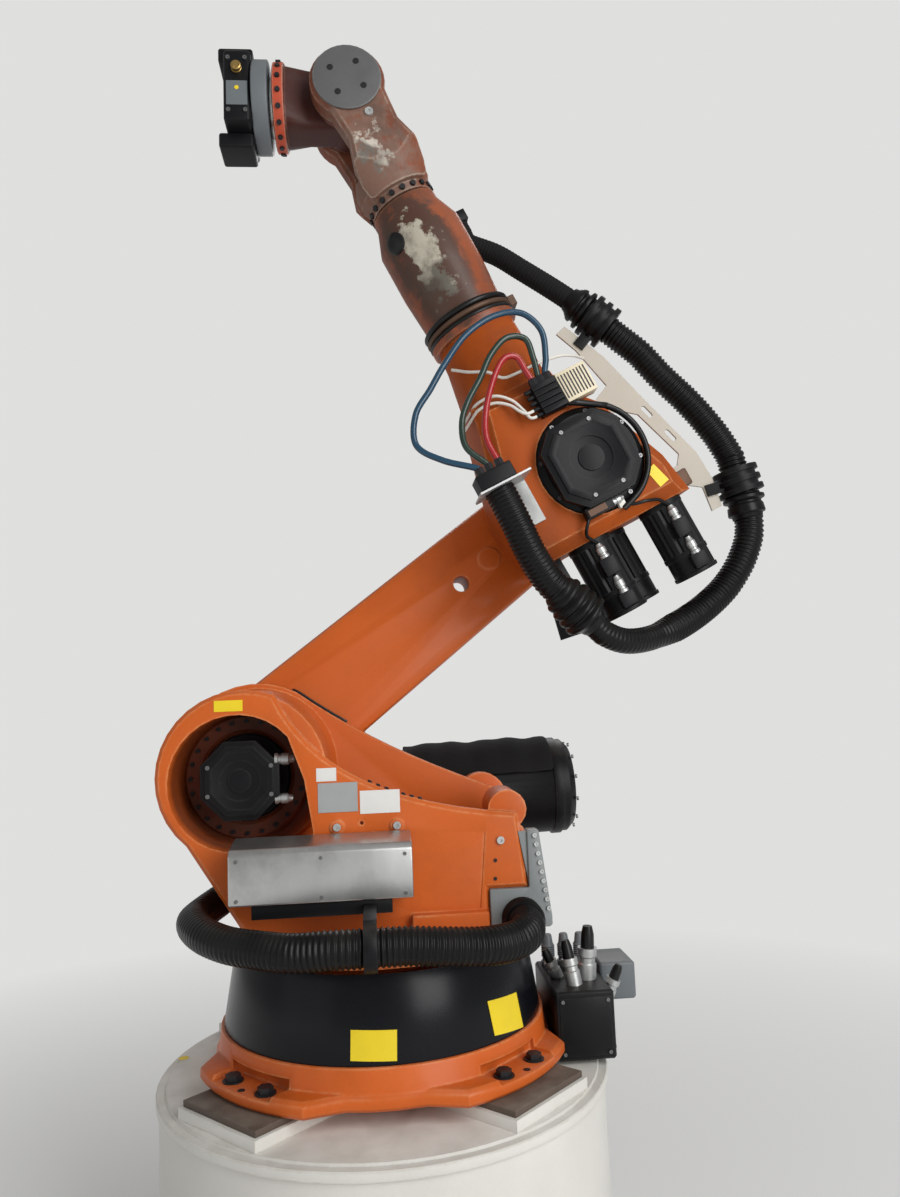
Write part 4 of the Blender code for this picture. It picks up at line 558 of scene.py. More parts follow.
def scaled(tree, vector, factor):
    return node(tree, "VectorMath", {0: vector, "Scale": factor}, operation="SCALE").outputs[0]


# Shader groups that the finishes share

GROUPS = {}
FINISHES = {}
OVER = [("Place", "Vector", None), ("Colour", "Color", (0.5, 0.5, 0.5, 1))]


def layer_group(name, inputs):
    """A group that lays a colour over another, with its mask."""
    return group(name, OVER + inputs, [("Colour", "Color"), ("Mask", "Float")])


def lay_over(tree, out, mask, under, over):
    tree.links.new(mix(tree, mask, under, over), out.inputs[0])
    tree.links.new(mask, out.inputs[1])
    return tree


def tone_group():
    """Slow and fine variation of a colour, and of its gloss."""
    tree, give, out = group("Tone variation", OVER + [("Amount", "Float", 0.15), ("Scale", "Float", 4.0),
                                                      ("Gloss", "Float", 0.5)],
                            [("Colour", "Color"), ("Roughness", "Float")])
    slow = noise(tree, give["Place"], give["Scale"], 5.0)
    fine = noise(tree, give["Place"], 190.0, 2.0)
    blend = maths(tree, "MULTIPLY_ADD", fine, 0.25, times(tree, slow, 0.75))
    shift = times(tree, maths(tree, "SUBTRACT", blend, 0.5), give["Amount"])
    lift = maths(tree, "ADD", times(tree, shift, 4.0), 1.0)
    tree.links.new(scaled(tree, give["Colour"], lift), out.inputs[0])
    tree.links.new(maths(tree, "ADD", give["Gloss"], shift, clamp=True), out.inputs[1])
    return tree


def wear_group():
    """Paint rubbed through to what lies under it, all over or around one spot."""
    tree, give, out = layer_group("Rubbed paint", [
        ("Under", "Color", (0.4, 0.4, 0.4, 1)), ("Amount", "Float", 0.1), ("Scale", "Float", 9.0),
        ("Spot", "Vector", (0, 0, 0)), ("Stretch", "Vector", (1, 1, 1)), ("Halo", "Color", (0.2, 0.08, 0.04, 1)),
        ("Turn", "Vector", (0, 0, 0))])
    away = node(tree, "VectorMath", {0: give["Place"], 1: give["Spot"]}, operation="SUBTRACT").outputs[0]
    faced = node(tree, "VectorRotate", {"Vector": away, "Rotation": give["Turn"]},
                 rotation_type="EULER_XYZ").outputs[0]
    shaped = node(tree, "VectorMath", {0: faced, 1: give["Stretch"]}, operation="MULTIPLY").outputs[0]
    reach = node(tree, "VectorMath", {0: shaped}, operation="LENGTH").outputs["Value"]
    broken = noise(tree, give["Place"], give["Scale"], 9.0, 0.68)

    # Bare where the spot is near, browned some way around it
    near = ramp(tree, reach, 1.25, 0.15)
    mask = ramp(tree, maths(tree, "MULTIPLY_ADD", near, give["Amount"], broken), 0.74, 0.80)
    wide = ramp(tree, reach, 1.75, 0.2)
    stain = maths(tree, "MULTIPLY_ADD", wide, give["Amount"], broken)
    around = times(tree, ramp(tree, stain, 0.50, 0.66), ramp(tree, wide, 0.04, 0.40))
    browned = mix(tree, around, give["Colour"], give["Halo"])

    # The bare metal is darker along one end
    cloudy = noise(tree, give["Place"], 11.0, 4.0, 0.6)
    along = node(tree, "SeparateXYZ", {0: shaped}).outputs[0]
    darkening = maths(tree, "MULTIPLY_ADD", along, -0.22, cloudy)
    metal = mix(tree, ramp(tree, darkening, 0.46, 0.60), give["Under"], scaled(tree, give["Under"], 0.30))
    return lay_over(tree, out, mask, browned, metal)


def grime_group():
    """Dark greasy patches."""
    tree, give, out = layer_group("Grime", [("Grime", "Color", (0.06, 0.04, 0.03, 1)), ("Amount", "Float", 0.3),
                                            ("Scale", "Float", 7.0)])
    broken = noise(tree, give["Place"], give["Scale"], 8.0, 0.66)
    mask = times(tree, ramp(tree, broken, 0.48, 0.68), give["Amount"], clamp=True)
    return lay_over(tree, out, mask, give["Colour"], give["Grime"])


def dust_group():
    """Dust that has settled on what faces up."""
    tree, give, out = layer_group("Settled dust", [("Dust", "Color", (0.36, 0.32, 0.26, 1)),
                                                   ("Amount", "Float", 0.3)])
    facing = node(tree, "SeparateXYZ", {0: node(tree, "NewGeometry").outputs["Normal"]}).outputs[2]
    patchy = noise(tree, give["Place"], 14.0, 6.0)
    laid = times(tree, ramp(tree, facing, 0.15, 1.0), ramp(tree, patchy, 0.35, 0.7))
    return lay_over(tree, out, times(tree, laid, give["Amount"], clamp=True), give["Colour"], give["Dust"])


def edge_group():
    """Colour along the edges, found by comparing the surface with a rounded one: worn paint, and where the tint is
    a lighter shade of the paint, a painted highlight on the rounded rims.
    """
    tree, give, out = layer_group("Edge wear and highlight", [("Worn", "Color", (0.5, 0.5, 0.5, 1)), ("Amount", "Float", 0.5),
                                                ("Reach", "Float", 0.006)])
    eased = node(tree, "Bevel", {"Radius": give["Reach"]}, samples=4).outputs[0]
    same = node(tree, "VectorMath", {0: eased, 1: node(tree, "NewGeometry").outputs["Normal"]},
                operation="DOT_PRODUCT").outputs["Value"]
    chips = ramp(tree, noise(tree, give["Place"], 60.0, 5.0, 0.7), 0.32, 0.56)
    patches = ramp(tree, noise(tree, give["Place"], 7.0, 2.0), 0.24, 0.52)
    edge_mark = times(tree, ramp(tree, same, 0.994, 0.94), times(tree, chips, patches))
    return lay_over(tree, out, times(tree, edge_mark, give["Amount"], clamp=True), give["Colour"], give["Worn"])


def bore_shade_group(centre, radius, front):
    """Painted shade: the paint darkened inside a round bore that opens to the near side."""
    tree, give, out = layer_group("Bore shade", [])
    parts = node(tree, "SeparateXYZ", {0: give["Place"]}).outputs
    flat = node(tree, "CombineXYZ", {0: parts[0], 2: parts[2]}).outputs[0]
    away = node(tree, "VectorMath", {0: flat, 1: centre}, operation="DISTANCE").outputs["Value"]
    inside = times(tree, ramp(tree, away, radius + 0.02, radius - 0.03),
                   ramp(tree, parts[1], front, front - 0.05))
    # The near-black brown laid inside the bore is painted shade
    return lay_over(tree, out, times(tree, inside, 0.72), give["Colour"], (0.07, 0.018, 0.008, 1))


def grain_group():
    """Fine height of a cast, brushed or moulded skin."""
    tree, give, out = group("Surface grain", [("Place", "Vector", None), ("Scale", "Float", 300.0),
                                              ("Wave", "Float", 0.3)], [("Height", "Float")])
    fine = noise(tree, give["Place"], give["Scale"], 3.0)
    slow = noise(tree, give["Place"], 18.0, 2.0)
    tree.links.new(maths(tree, "MULTIPLY_ADD", slow, give["Wave"], fine), out.inputs[0])
    return tree


# Layers of a finish: the group that makes each, and its values

def rubbed(amount, under, scale, halo=None, spot=(0, 0, 50), stretch=(1, 1, 1), turn=0.0):
    return "wear", {"Under": (*under, 1), "Amount": amount, "Scale": scale, "Spot": spot, "Stretch": stretch,
                    "Halo": (*(halo or under), 1), "Turn": (0, turn, 0)}


def edges(amount, tint=(0.5, 0.4, 0.3), reach=0.006):
    return "edge", {"Worn": (*tint, 1), "Amount": amount, "Reach": reach}


def grime(amount, scale=7.0, tint=(0.06, 0.038, 0.028)):
    return "grime", {"Grime": (*tint, 1), "Amount": amount, "Scale": scale}


def dust(amount):
    return "dust", {"Dust": (*bpy.context.scene.arm_colours.dust, 1), "Amount": amount}


def use_group(tree, name, values):
    return node(tree, "Group", values, node_tree=GROUPS[name])


def object_place(tree):
    return node(tree, "TexCoord").outputs["Object"]


def fresh_finish(name, tint):
    """A new finish: its tree and its shader."""
    finish = bpy.data.materials.new(name)
    finish.use_nodes = True
    finish.diffuse_color = (*tint, 1)
    FINISHES[name] = finish
    return finish.node_tree, finish.node_tree.nodes["Principled BSDF"]


def make_finish(name, tint, roughness, vary, scale, layers=(), metallic=0.0, coat=0.0, specular=0.35,
                grain=300.0, wave=0.3, bump=0.12, stretched=(1, 1, 1)):
    """A finish from the shared groups, on Object coordinates; its layers lie in the order given."""
    tree, shader = fresh_finish(name, tint)
    plain = object_place(tree)
    place = node(tree, "Mapping", {"Vector": plain, "Scale": stretched}).outputs[0]
    tone = use_group(tree, "tone", {"Place": place, "Colour": (*tint, 1), "Amount": vary, "Scale": scale,
                                    "Gloss": roughness})
    top = tone.outputs["Colour"]
    shader.inputs["Metallic"].default_value = metallic
    for kind, values in layers:
        layer = use_group(tree, kind, {"Place": plain, "Colour": top, **values})
        top = layer.outputs["Colour"]
        if kind == "wear":
            tree.links.new(times(tree, layer.outputs["Mask"], 0.25), shader.inputs["Metallic"])
    tree.links.new(top, shader.inputs["Base Color"])
    tree.links.new(tone.outputs["Roughness"], shader.inputs["Roughness"])
    shader.inputs["Specular IOR Level"].default_value = specular
    shader.inputs["Coat Weight"].default_value = coat
    shader.inputs["Coat Roughness"].default_value = 0.12
    relief = use_group(tree, "grain", {"Place": place, "Scale": grain, "Wave": wave}).outputs[0]
    raised = node(tree, "Bump", {"Height": relief, "Strength": bump, "Distance": 0.001})
    tree.links.new(raised.outputs[0], shader.inputs["Normal"])


def woven_finish(name, tint):
    """Woven textile: two crossed waves make the threads."""
    tree, shader = fresh_finish(name, tint)
    place = object_place(tree)
    waves = [node(tree, "TexWave", {"Vector": place, "Scale": 95.0, "Distortion": 1.2, "Detail": 1.0},
                  bands_direction=way).outputs[1] for way in ("X", "Z")]
    threads = times(tree, *waves)
    tone = use_group(tree, "tone", {"Place": place, "Colour": (*tint, 1), "Amount": 0.35, "Scale": 9.0,
                                    "Gloss": 0.85})
    light = tuple(min(1, 2.4 * c) for c in tint)
    shader.inputs["Specular IOR Level"].default_value = 0.2
    tree.links.new(mix(tree, threads, tone.outputs["Colour"], (*light, 1)), shader.inputs["Base Color"])
    tree.links.new(tone.outputs["Roughness"], shader.inputs["Roughness"])
    raised = node(tree, "Bump", {"Height": threads, "Strength": 0.5, "Distance": 0.0015})
    tree.links.new(raised.outputs[0], shader.inputs["Normal"])


# Geometry Nodes that repeat a part or follow a path

TREES = {}


def fresh_tree(name, inputs):
    inputs = [("Geometry", "Geometry", None)] + inputs + [("Material", "Material", None)]
    return group(name, inputs, [("Geometry", "Geometry")], "GeometryNodeTree")


def painted(tree, out, shape, material):
    shown = geo(tree, "SetMaterial", {"Geometry": shape, "Material": material})
    tree.links.new(shown.outputs[0], out.inputs[0])
    return tree


def fastener_tree():
    """A head with a hexagon socket, on a washer, at every point, along the point's facing."""
    tree, give, out = fresh_tree("Fasteners", [
        ("Head Radius", "Float", 0.007), ("Head Height", "Float", 0.006), ("Sides", "Int", 24),
        ("Socket Radius", "Float", 0.003), ("Washer Radius", "Float", 0.009), ("Washer Height", "Float", 0.001)])

    def raised(radius, height, sides, lift):
        round_part = geo(tree, "MeshCylinder", {"Vertices": sides, "Radius": radius, "Depth": height})
        up = maths(tree, "ADD", times(tree, height, 0.5), lift)
        place = node(tree, "CombineXYZ", {"Z": up}).outputs[0]
        return geo(tree, "Transform", {0: round_part.outputs["Mesh"], "Translation": place}).outputs[0]

    head = raised(give["Head Radius"], give["Head Height"], give["Sides"], give["Washer Height"])
    lift = maths(tree, "ADD", times(tree, give["Head Height"], 0.5), give["Washer Height"])
    key = raised(give["Socket Radius"], give["Head Height"], 6, lift)
    cut = geo(tree, "MeshBoolean", {"Mesh 1": head, "Mesh 2": key}, operation="DIFFERENCE")
    both = geo(tree, "JoinGeometry", {0: cut.outputs["Mesh"]})
    tree.links.new(raised(give["Washer Radius"], give["Washer Height"], 28, 0.0), both.inputs[0])
    facing = geo(tree, "InputNamedAttribute", {"Name": "facing"}, data_type="FLOAT_VECTOR").outputs[0]
    turn = add(tree, "FunctionNodeAlignRotationToVector", {"Vector": facing}, axis="Z").outputs[0]
    stood = geo(tree, "InstanceOnPoints", {"Points": give["Geometry"], "Instance": both.outputs[0],
                                           "Rotation": turn})
    solid = geo(tree, "RealizeInstances", {0: stood.outputs[0]})
    return painted(tree, out, solid.outputs[0], give["Material"])


def rib_tree():
    """A straight row of bars, from a start, a step apart."""
    tree, give, out = fresh_tree("Row of ribs", [("Count", "Int", 6), ("Start", "Vector", (0, 0, 0)),
                                                 ("Step", "Vector", (0.01, 0, 0)),
                                                 ("Bar", "Vector", (0.004, 0.1, 0.01))])
    row = geo(tree, "MeshLine", {"Count": give["Count"], "Start Location": give["Start"],
                                 "Offset": give["Step"]}, mode="OFFSET")
    bar = geo(tree, "MeshCube", {"Size": give["Bar"]})
    stood = geo(tree, "InstanceOnPoints", {"Points": row.outputs[0], "Instance": bar.outputs[0]})
    solid = geo(tree, "RealizeInstances", {0: stood.outputs[0]})
    return painted(tree, out, solid.outputs[0], give["Material"])


def hose_tree():
    """A round hose along a curve, drawn in at every rib pitch."""
    tree, give, out = fresh_tree("Hose", [("Radius", "Float", 0.04), ("Rib Depth", "Float", 0.004),
                                          ("Step", "Float", 0.003), ("Steps A Rib", "Int", 4),
                                          ("Sides", "Int", 24)])
    path = geo(tree, "ResampleCurve", {"Curve": give["Geometry"], "Length": give["Step"]}, mode="LENGTH")
    index = geo(tree, "InputIndex").outputs[0]
    share = maths(tree, "DIVIDE", index, give["Steps A Rib"])
    wave = maths(tree, "COSINE", times(tree, share, 2 * pi))
    drawn = times(tree, maths(tree, "MULTIPLY_ADD", wave, 0.5, 0.5), give["Rib Depth"])
    wide = maths(tree, "SUBTRACT", give["Radius"], drawn)
    shaped = geo(tree, "SetCurveRadius", {"Curve": path.outputs[0], "Radius": wide})
    rim = geo(tree, "CurvePrimitiveCircle", {"Resolution": give["Sides"], "Radius": 1.0})
    skin = geo(tree, "CurveToMesh", {"Curve": shaped.outputs[0], "Profile Curve": rim.outputs[0],
                                     "Fill Caps": True})
    if "Scale" in skin.inputs:
        tree.links.new(geo(tree, "InputRadius").outputs[0], skin.inputs["Scale"])
    return painted(tree, out, skin.outputs[0], give["Material"])


def grown(data, tree, values):
    """Runs a node tree on a mesh or a curve and keeps the mesh it makes."""
    piece = scratch(data)
    modifier = piece.modifiers.new("nodes", "NODES")
    modifier.node_group = TREES[tree]
    names = {item.name: item.identifier for item in modifier.node_group.interface.items_tree
             if item.in_out == "INPUT"}
    for key, value in values.items():
        modifier[names[key]] = value
    piece.update_tag()
    return baked(piece)


def fasteners(name, spots, finish, body, head, height, where=None, sides=24, recess=0.0, washer=0.0,
              thick=0.001):
    """One mesh of like screws or bolts: spots are (place, way it faces) in the body's frame."""
    where = LOCAL[body] if where is None else where
    mesh = bpy.data.meshes.new("points")
    mesh.from_pydata([where @ Vector(place) for place, way in spots], [], [])
    facing = mesh.attributes.new("facing", "FLOAT_VECTOR", "POINT")
    for i, (place, way) in enumerate(spots):
        facing.data[i].vector = where.to_3x3() @ Vector(way)
    made = grown(mesh, "fasteners", {
        "Head Radius": head, "Head Height": height, "Sides": sides, "Socket Radius": recess or head * 0.45,
        "Washer Radius": washer or head * 1.02, "Washer Height": thick, "Material": FINISHES[finish]})
    piece_of(name, made, finish, body, GROUND, smooth=30)


def motor_cap(name, node_name, half, corner, centre, low, high, body):
    """A motor's square cover with a step, a sunk middle and four screws."""
    middle = (centre[0], 0, centre[1])
    cover = carve(prism(octagon(half, corner, centre), low, high - 0.006),
                  added=[prism(octagon(half * 0.86, corner * 0.86, centre), high - 0.010, high)],
                  removed=[disc(half * 0.50, high - 0.007, high + 0.01, "Y", middle),
                           prism(octagon(half * 0.72, corner * 0.72, centre), high - 0.002, high + 0.01)])
    cover = joined([cover, disc(half * 0.30, high - 0.0069, high - 0.003, "Y", middle, ease=0.001)])
    piece_of(name, rounded(cover, 0.003), "black_coating", body, node_name=node_name)
    reach = half * 0.80
    spots = grid_spots([centre[0] + a * reach for a in (-1, 1)], [high - 0.0005],
                       [centre[1] + b * reach * 0.45 for b in (-1, 1)], NEAR)
    fasteners(f"{name}_screws", spots, "screw_steel", body, 0.0055, 0.003)


def connector(name, centre, axis, body, radius, length, finish="galvanised"):
    """A round plug with a knurled nut, from a face outwards."""
    shares = ((0, 0), (1.15, 0), (1.15, 0.15), (0.9, 0.2), (0.9, 0.32), (1.1, 0.36), (1.1, 0.7), (0.85, 0.76),
              (0.62, 1), (0, 1))
    mesh = turned([(radius * a, length * b) for a, b in shares], axis, steps=28)
    piece_of(name, moved(mesh, Matrix.Translation(centre)), finish, body)


# Hose routes: the node and its body, the radius in metres, and the same points as in the part's source
HOSE_ROUTES = {
    "column_hose": ("column_hose_loop", "column", 0.043, [
        (-0.350, 0.2866, 0.388), (-0.350, 0.316, 0.388), (-0.338, 0.374, 0.385), (-0.300, 0.425, 0.382),
        (-0.230, 0.470, 0.386), (-0.135, 0.492, 0.396), (-0.055, 0.500, 0.404), (0.025, 0.500, 0.404),
        (0.105, 0.500, 0.404), (0.200, 0.476, 0.397), (0.282, 0.430, 0.398), (0.350, 0.390, 0.402),
        (0.412, 0.325, 0.410), (0.452, 0.245, 0.418), (0.458, 0.160, 0.418), (0.4225, 0.080, 0.4358),
        (0.3850, 0.080, 0.4597)]),
    "pack_loop": ("pack_hose_loop", "arm", 0.042, [
        (-0.395284, 0.189930, -0.207891), (-0.4230, 0.1831, -0.1972), (-0.470, 0.160, -0.152),
        (-0.500, 0.120, -0.078), (-0.512, 0.075, 0.015), (-0.512, 0.038, 0.100), (-0.502, 0.012, 0.180),
        (-0.482, 0, 0.250), (-0.442, 0, 0.320), (-0.388, 0, 0.378), (-0.3194, 0, 0.4138),
        (-0.2802, 0, 0.4214), (-0.1918, 0, 0.4386), (-0.1526, 0, 0.4462), (-0.066, 0, 0.440),
        (0.040, 0, 0.418), (0.150, 0, 0.383), (0.240, 0, 0.3599), (0.3052, 0, 0.3320),
        (0.348365, 0, 0.313132)]),
    "pack_lower": ("pack_hose_lower", "arm", 0.042, [
        (0.0347, 0.262, -0.275), (0.0100, 0.262, -0.275), (-0.070, 0.262, -0.278), (-0.150, 0.250, -0.280),
        (-0.2373, 0.2288, -0.2687), (-0.264720, 0.222069, -0.258108)]),
    "front_hose": ("pack_hose_front", "arm", 0.032, [
        (0.417635, 0, 0.282868), (0.4610, 0, 0.2639), (0.540, -0.018, 0.232), (0.640, -0.046, 0.190),
        (0.730, -0.070, 0.150), (0.8050, -0.082, 0.092), (0.8350, -0.082, 0.092), (0.8647, -0.082, 0.092)]),
    "blue_air_hose": ("blue_hose", "arm", 0.0085, [
        (0.0856, 0.285, -0.302), (0.105, 0.285, -0.302), (0.170, 0.270, -0.370), (0.240, 0.252, -0.408),
        (0.315, 0.243, -0.369), (0.360, 0.240, -0.300), (0.405, 0.238, -0.231), (0.450, 0.237, -0.142),
        (0.462, 0.236, -0.050), (0.436, 0.235, 0.020), (0.370, 0.235, 0.045), (0.300, 0.235, 0.020),
        (0.262, 0.235, -0.004), (0.2423, 0.235, -0.004)]),
    "green_air_hose": ("green_hose", "arm", 0.0085, [
        (0.0856, 0.285, -0.275), (0.105, 0.285, -0.275), (0.170, 0.278, -0.300), (0.236, 0.262, -0.275),
        (0.282, 0.255, -0.230), (0.323, 0.250, -0.171), (0.368, 0.245, -0.113), (0.392, 0.240, -0.051),
        (0.368, 0.236, -0.006), (0.312, 0.235, -0.012), (0.262, 0.235, -0.025), (0.2423, 0.235, -0.025)]),
    "red_air_hose": ("red_hose", "arm", 0.0085, [
        (0.0856, 0.285, -0.246), (0.105, 0.285, -0.246), (0.170, 0.275, -0.240), (0.240, 0.262, -0.200),
        (0.310, 0.250, -0.135), (0.344, 0.242, -0.085), (0.334, 0.236, -0.052), (0.290, 0.235, -0.048),
        (0.262, 0.235, -0.046), (0.2423, 0.235, -0.046)]),
}
STEPS_A_RIB = 6


def draw_in(mesh, sides, mean, low, high, narrow, ease):
    """Narrows a stretch of a hose, from low to high shares of its length, and leaves it shallow ribs."""
    rings = len(mesh.vertices) // sides
    for i in range(rings):
        ring = mesh.vertices[i * sides:(i + 1) * sides]
        middle = sum((v.co for v in ring), Vector()) / sides
        share = i / (rings - 1)
        blend = max(0, min(1, (share - low) / ease, (high - share) / ease))
        for vertex in ring:
            spoke = vertex.co - middle
            shallow = narrow + (spoke.length - mean) * 0.2
            vertex.co = middle + spoke.normalized() * (spoke.length * (1 - blend) + shallow * blend)


def hose(name, finish, pitch=0.0, depth=0.0, sides=24, plain=None):
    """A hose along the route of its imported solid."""
    node_name, body, radius, points = HOSE_ROUTES[name]
    placed = [LOCAL[body] @ p for p in smooth_route(points, max(radius * 0.35, 0.004))]
    line = bpy.data.curves.new("route", "CURVE")
    line.dimensions = "3D"
    spline = line.splines.new("POLY")
    spline.points.add(len(placed) - 1)
    for spot, place in zip(spline.points, placed):
        spot.co = (*place, 1)
    made = grown(line, "hose", {"Radius": radius, "Rib Depth": depth, "Step": (pitch or radius) / STEPS_A_RIB,
                                "Steps A Rib": STEPS_A_RIB, "Sides": sides, "Material": FINISHES[finish]})
    if plain:
        draw_in(made, sides, radius - depth / 2, *plain)
    piece = piece_of(name, made, finish, body, GROUND, node_name, smooth=60)


class STAGE_OT_arm(bpy.types.Operator):
    """Makes the pale floor, the lights, the sky and the camera"""
    bl_idname = "robot_arm.stage"
    bl_label = "Stage"

    def execute(self, context):
        scene, stage = context.scene, context.scene.arm_stage
        scene.view_settings.view_transform = "Standard"
        pale = (*stage.floor, 1)

        # The floor fades into the background's colour away from the arm
        floor_paint = bpy.data.materials.new("floor")
        floor_paint.use_nodes = True
        tree = floor_paint.node_tree
        shader = tree.nodes["Principled BSDF"]
        shader.inputs["Base Color"].default_value = pale
        shader.inputs["Roughness"].default_value = 0.9
        far = node(tree, "VectorMath", {0: object_place(tree)}, operation="LENGTH").outputs["Value"]
        glow = node(tree, "Emission", {"Color": pale}).outputs[0]
        fade = node(tree, "MixShader", {0: ramp(tree, far, 0.9, 4.0), 1: shader.outputs[0], 2: glow})
        tree.links.new(fade.outputs[0], tree.nodes["Material Output"].inputs[0])
        half = stage.half_floor
        mesh = bpy.data.meshes.new("floor")
        mesh.from_pydata([(-half, -half, 0), (half, -half, 0), (half, half, 0), (-half, half, 0)], [],
                         [(0, 1, 2, 3)])
        mesh.materials.append(floor_paint)
        scratch(mesh, "floor")

        # The sky shows the floor's colour and lights evenly
        sky = bpy.data.worlds.new("sky")
        scene.world = sky
        sky.use_nodes = True
        tree = sky.node_tree
        shown = tree.nodes["Background"]
        shown.inputs[0].default_value = pale
        lit = node(tree, "Background", {0: (1, 1, 1, 1), 1: stage.world_light}).outputs[0]
        seen = node(tree, "LightPath").outputs["Is Camera Ray"]
        choose = node(tree, "MixShader", {0: seen, 1: lit, 2: shown.outputs[0]})
        tree.links.new(choose.outputs[0], tree.nodes["World Output"].inputs[0])

        # Name, power, width and height, where each light stands and what it is aimed at
        for name, power, wide, high, place, target in (
                ("key_light", stage.key_power, 2.1, 4.6, (-2.4, 3.7, 3.0), (0.1, 0, 1.1)),
                ("fill_light", stage.fill_power, 3.6, 3.6, (4.0, 2.8, 1.8), (0.2, 0, 1.0)),
                ("rim_light", stage.rim_power, 3.0, 3.0, (-1.0, -4.2, 4.8), (0.1, 0, 2.0))):
            light = bpy.data.lights.new(name, "AREA")
            light.shape = "RECTANGLE"
            light.energy, light.size, light.size_y = power, wide, high
            stand = scratch(light, name)
            stand.location = place
            stand.rotation_euler = (Vector(target) - Vector(place)).to_track_quat("-Z", "Y").to_euler()

        # The camera fitted to the photo: its turns in radians, how far aside and how high it stands
        yaw, pitch, roll = -0.0842, 0.1117, -0.0388
        aside, eye_height = -0.0038, 1.5451
        ahead = Vector((sin(yaw) * cos(pitch), -cos(yaw) * cos(pitch), sin(pitch)))
        level = ahead.cross(Vector((0, 0, 1))).normalized()
        above = level.cross(ahead)
        right = cos(roll) * level + sin(roll) * above
        up = -sin(roll) * level + cos(roll) * above
        lens = bpy.data.cameras.new("camera")
        lens.sensor_fit = "VERTICAL"
        lens.sensor_height = 36
        lens.lens = stage.focal_length
        eye = scratch(lens, "camera")
        turn = Matrix((right, up, -ahead)).transposed().to_4x4()
        eye.matrix_world = Matrix.Translation((aside, stage.camera_back, eye_height)) @ turn
        scene.camera = eye
        return {"FINISHED"}


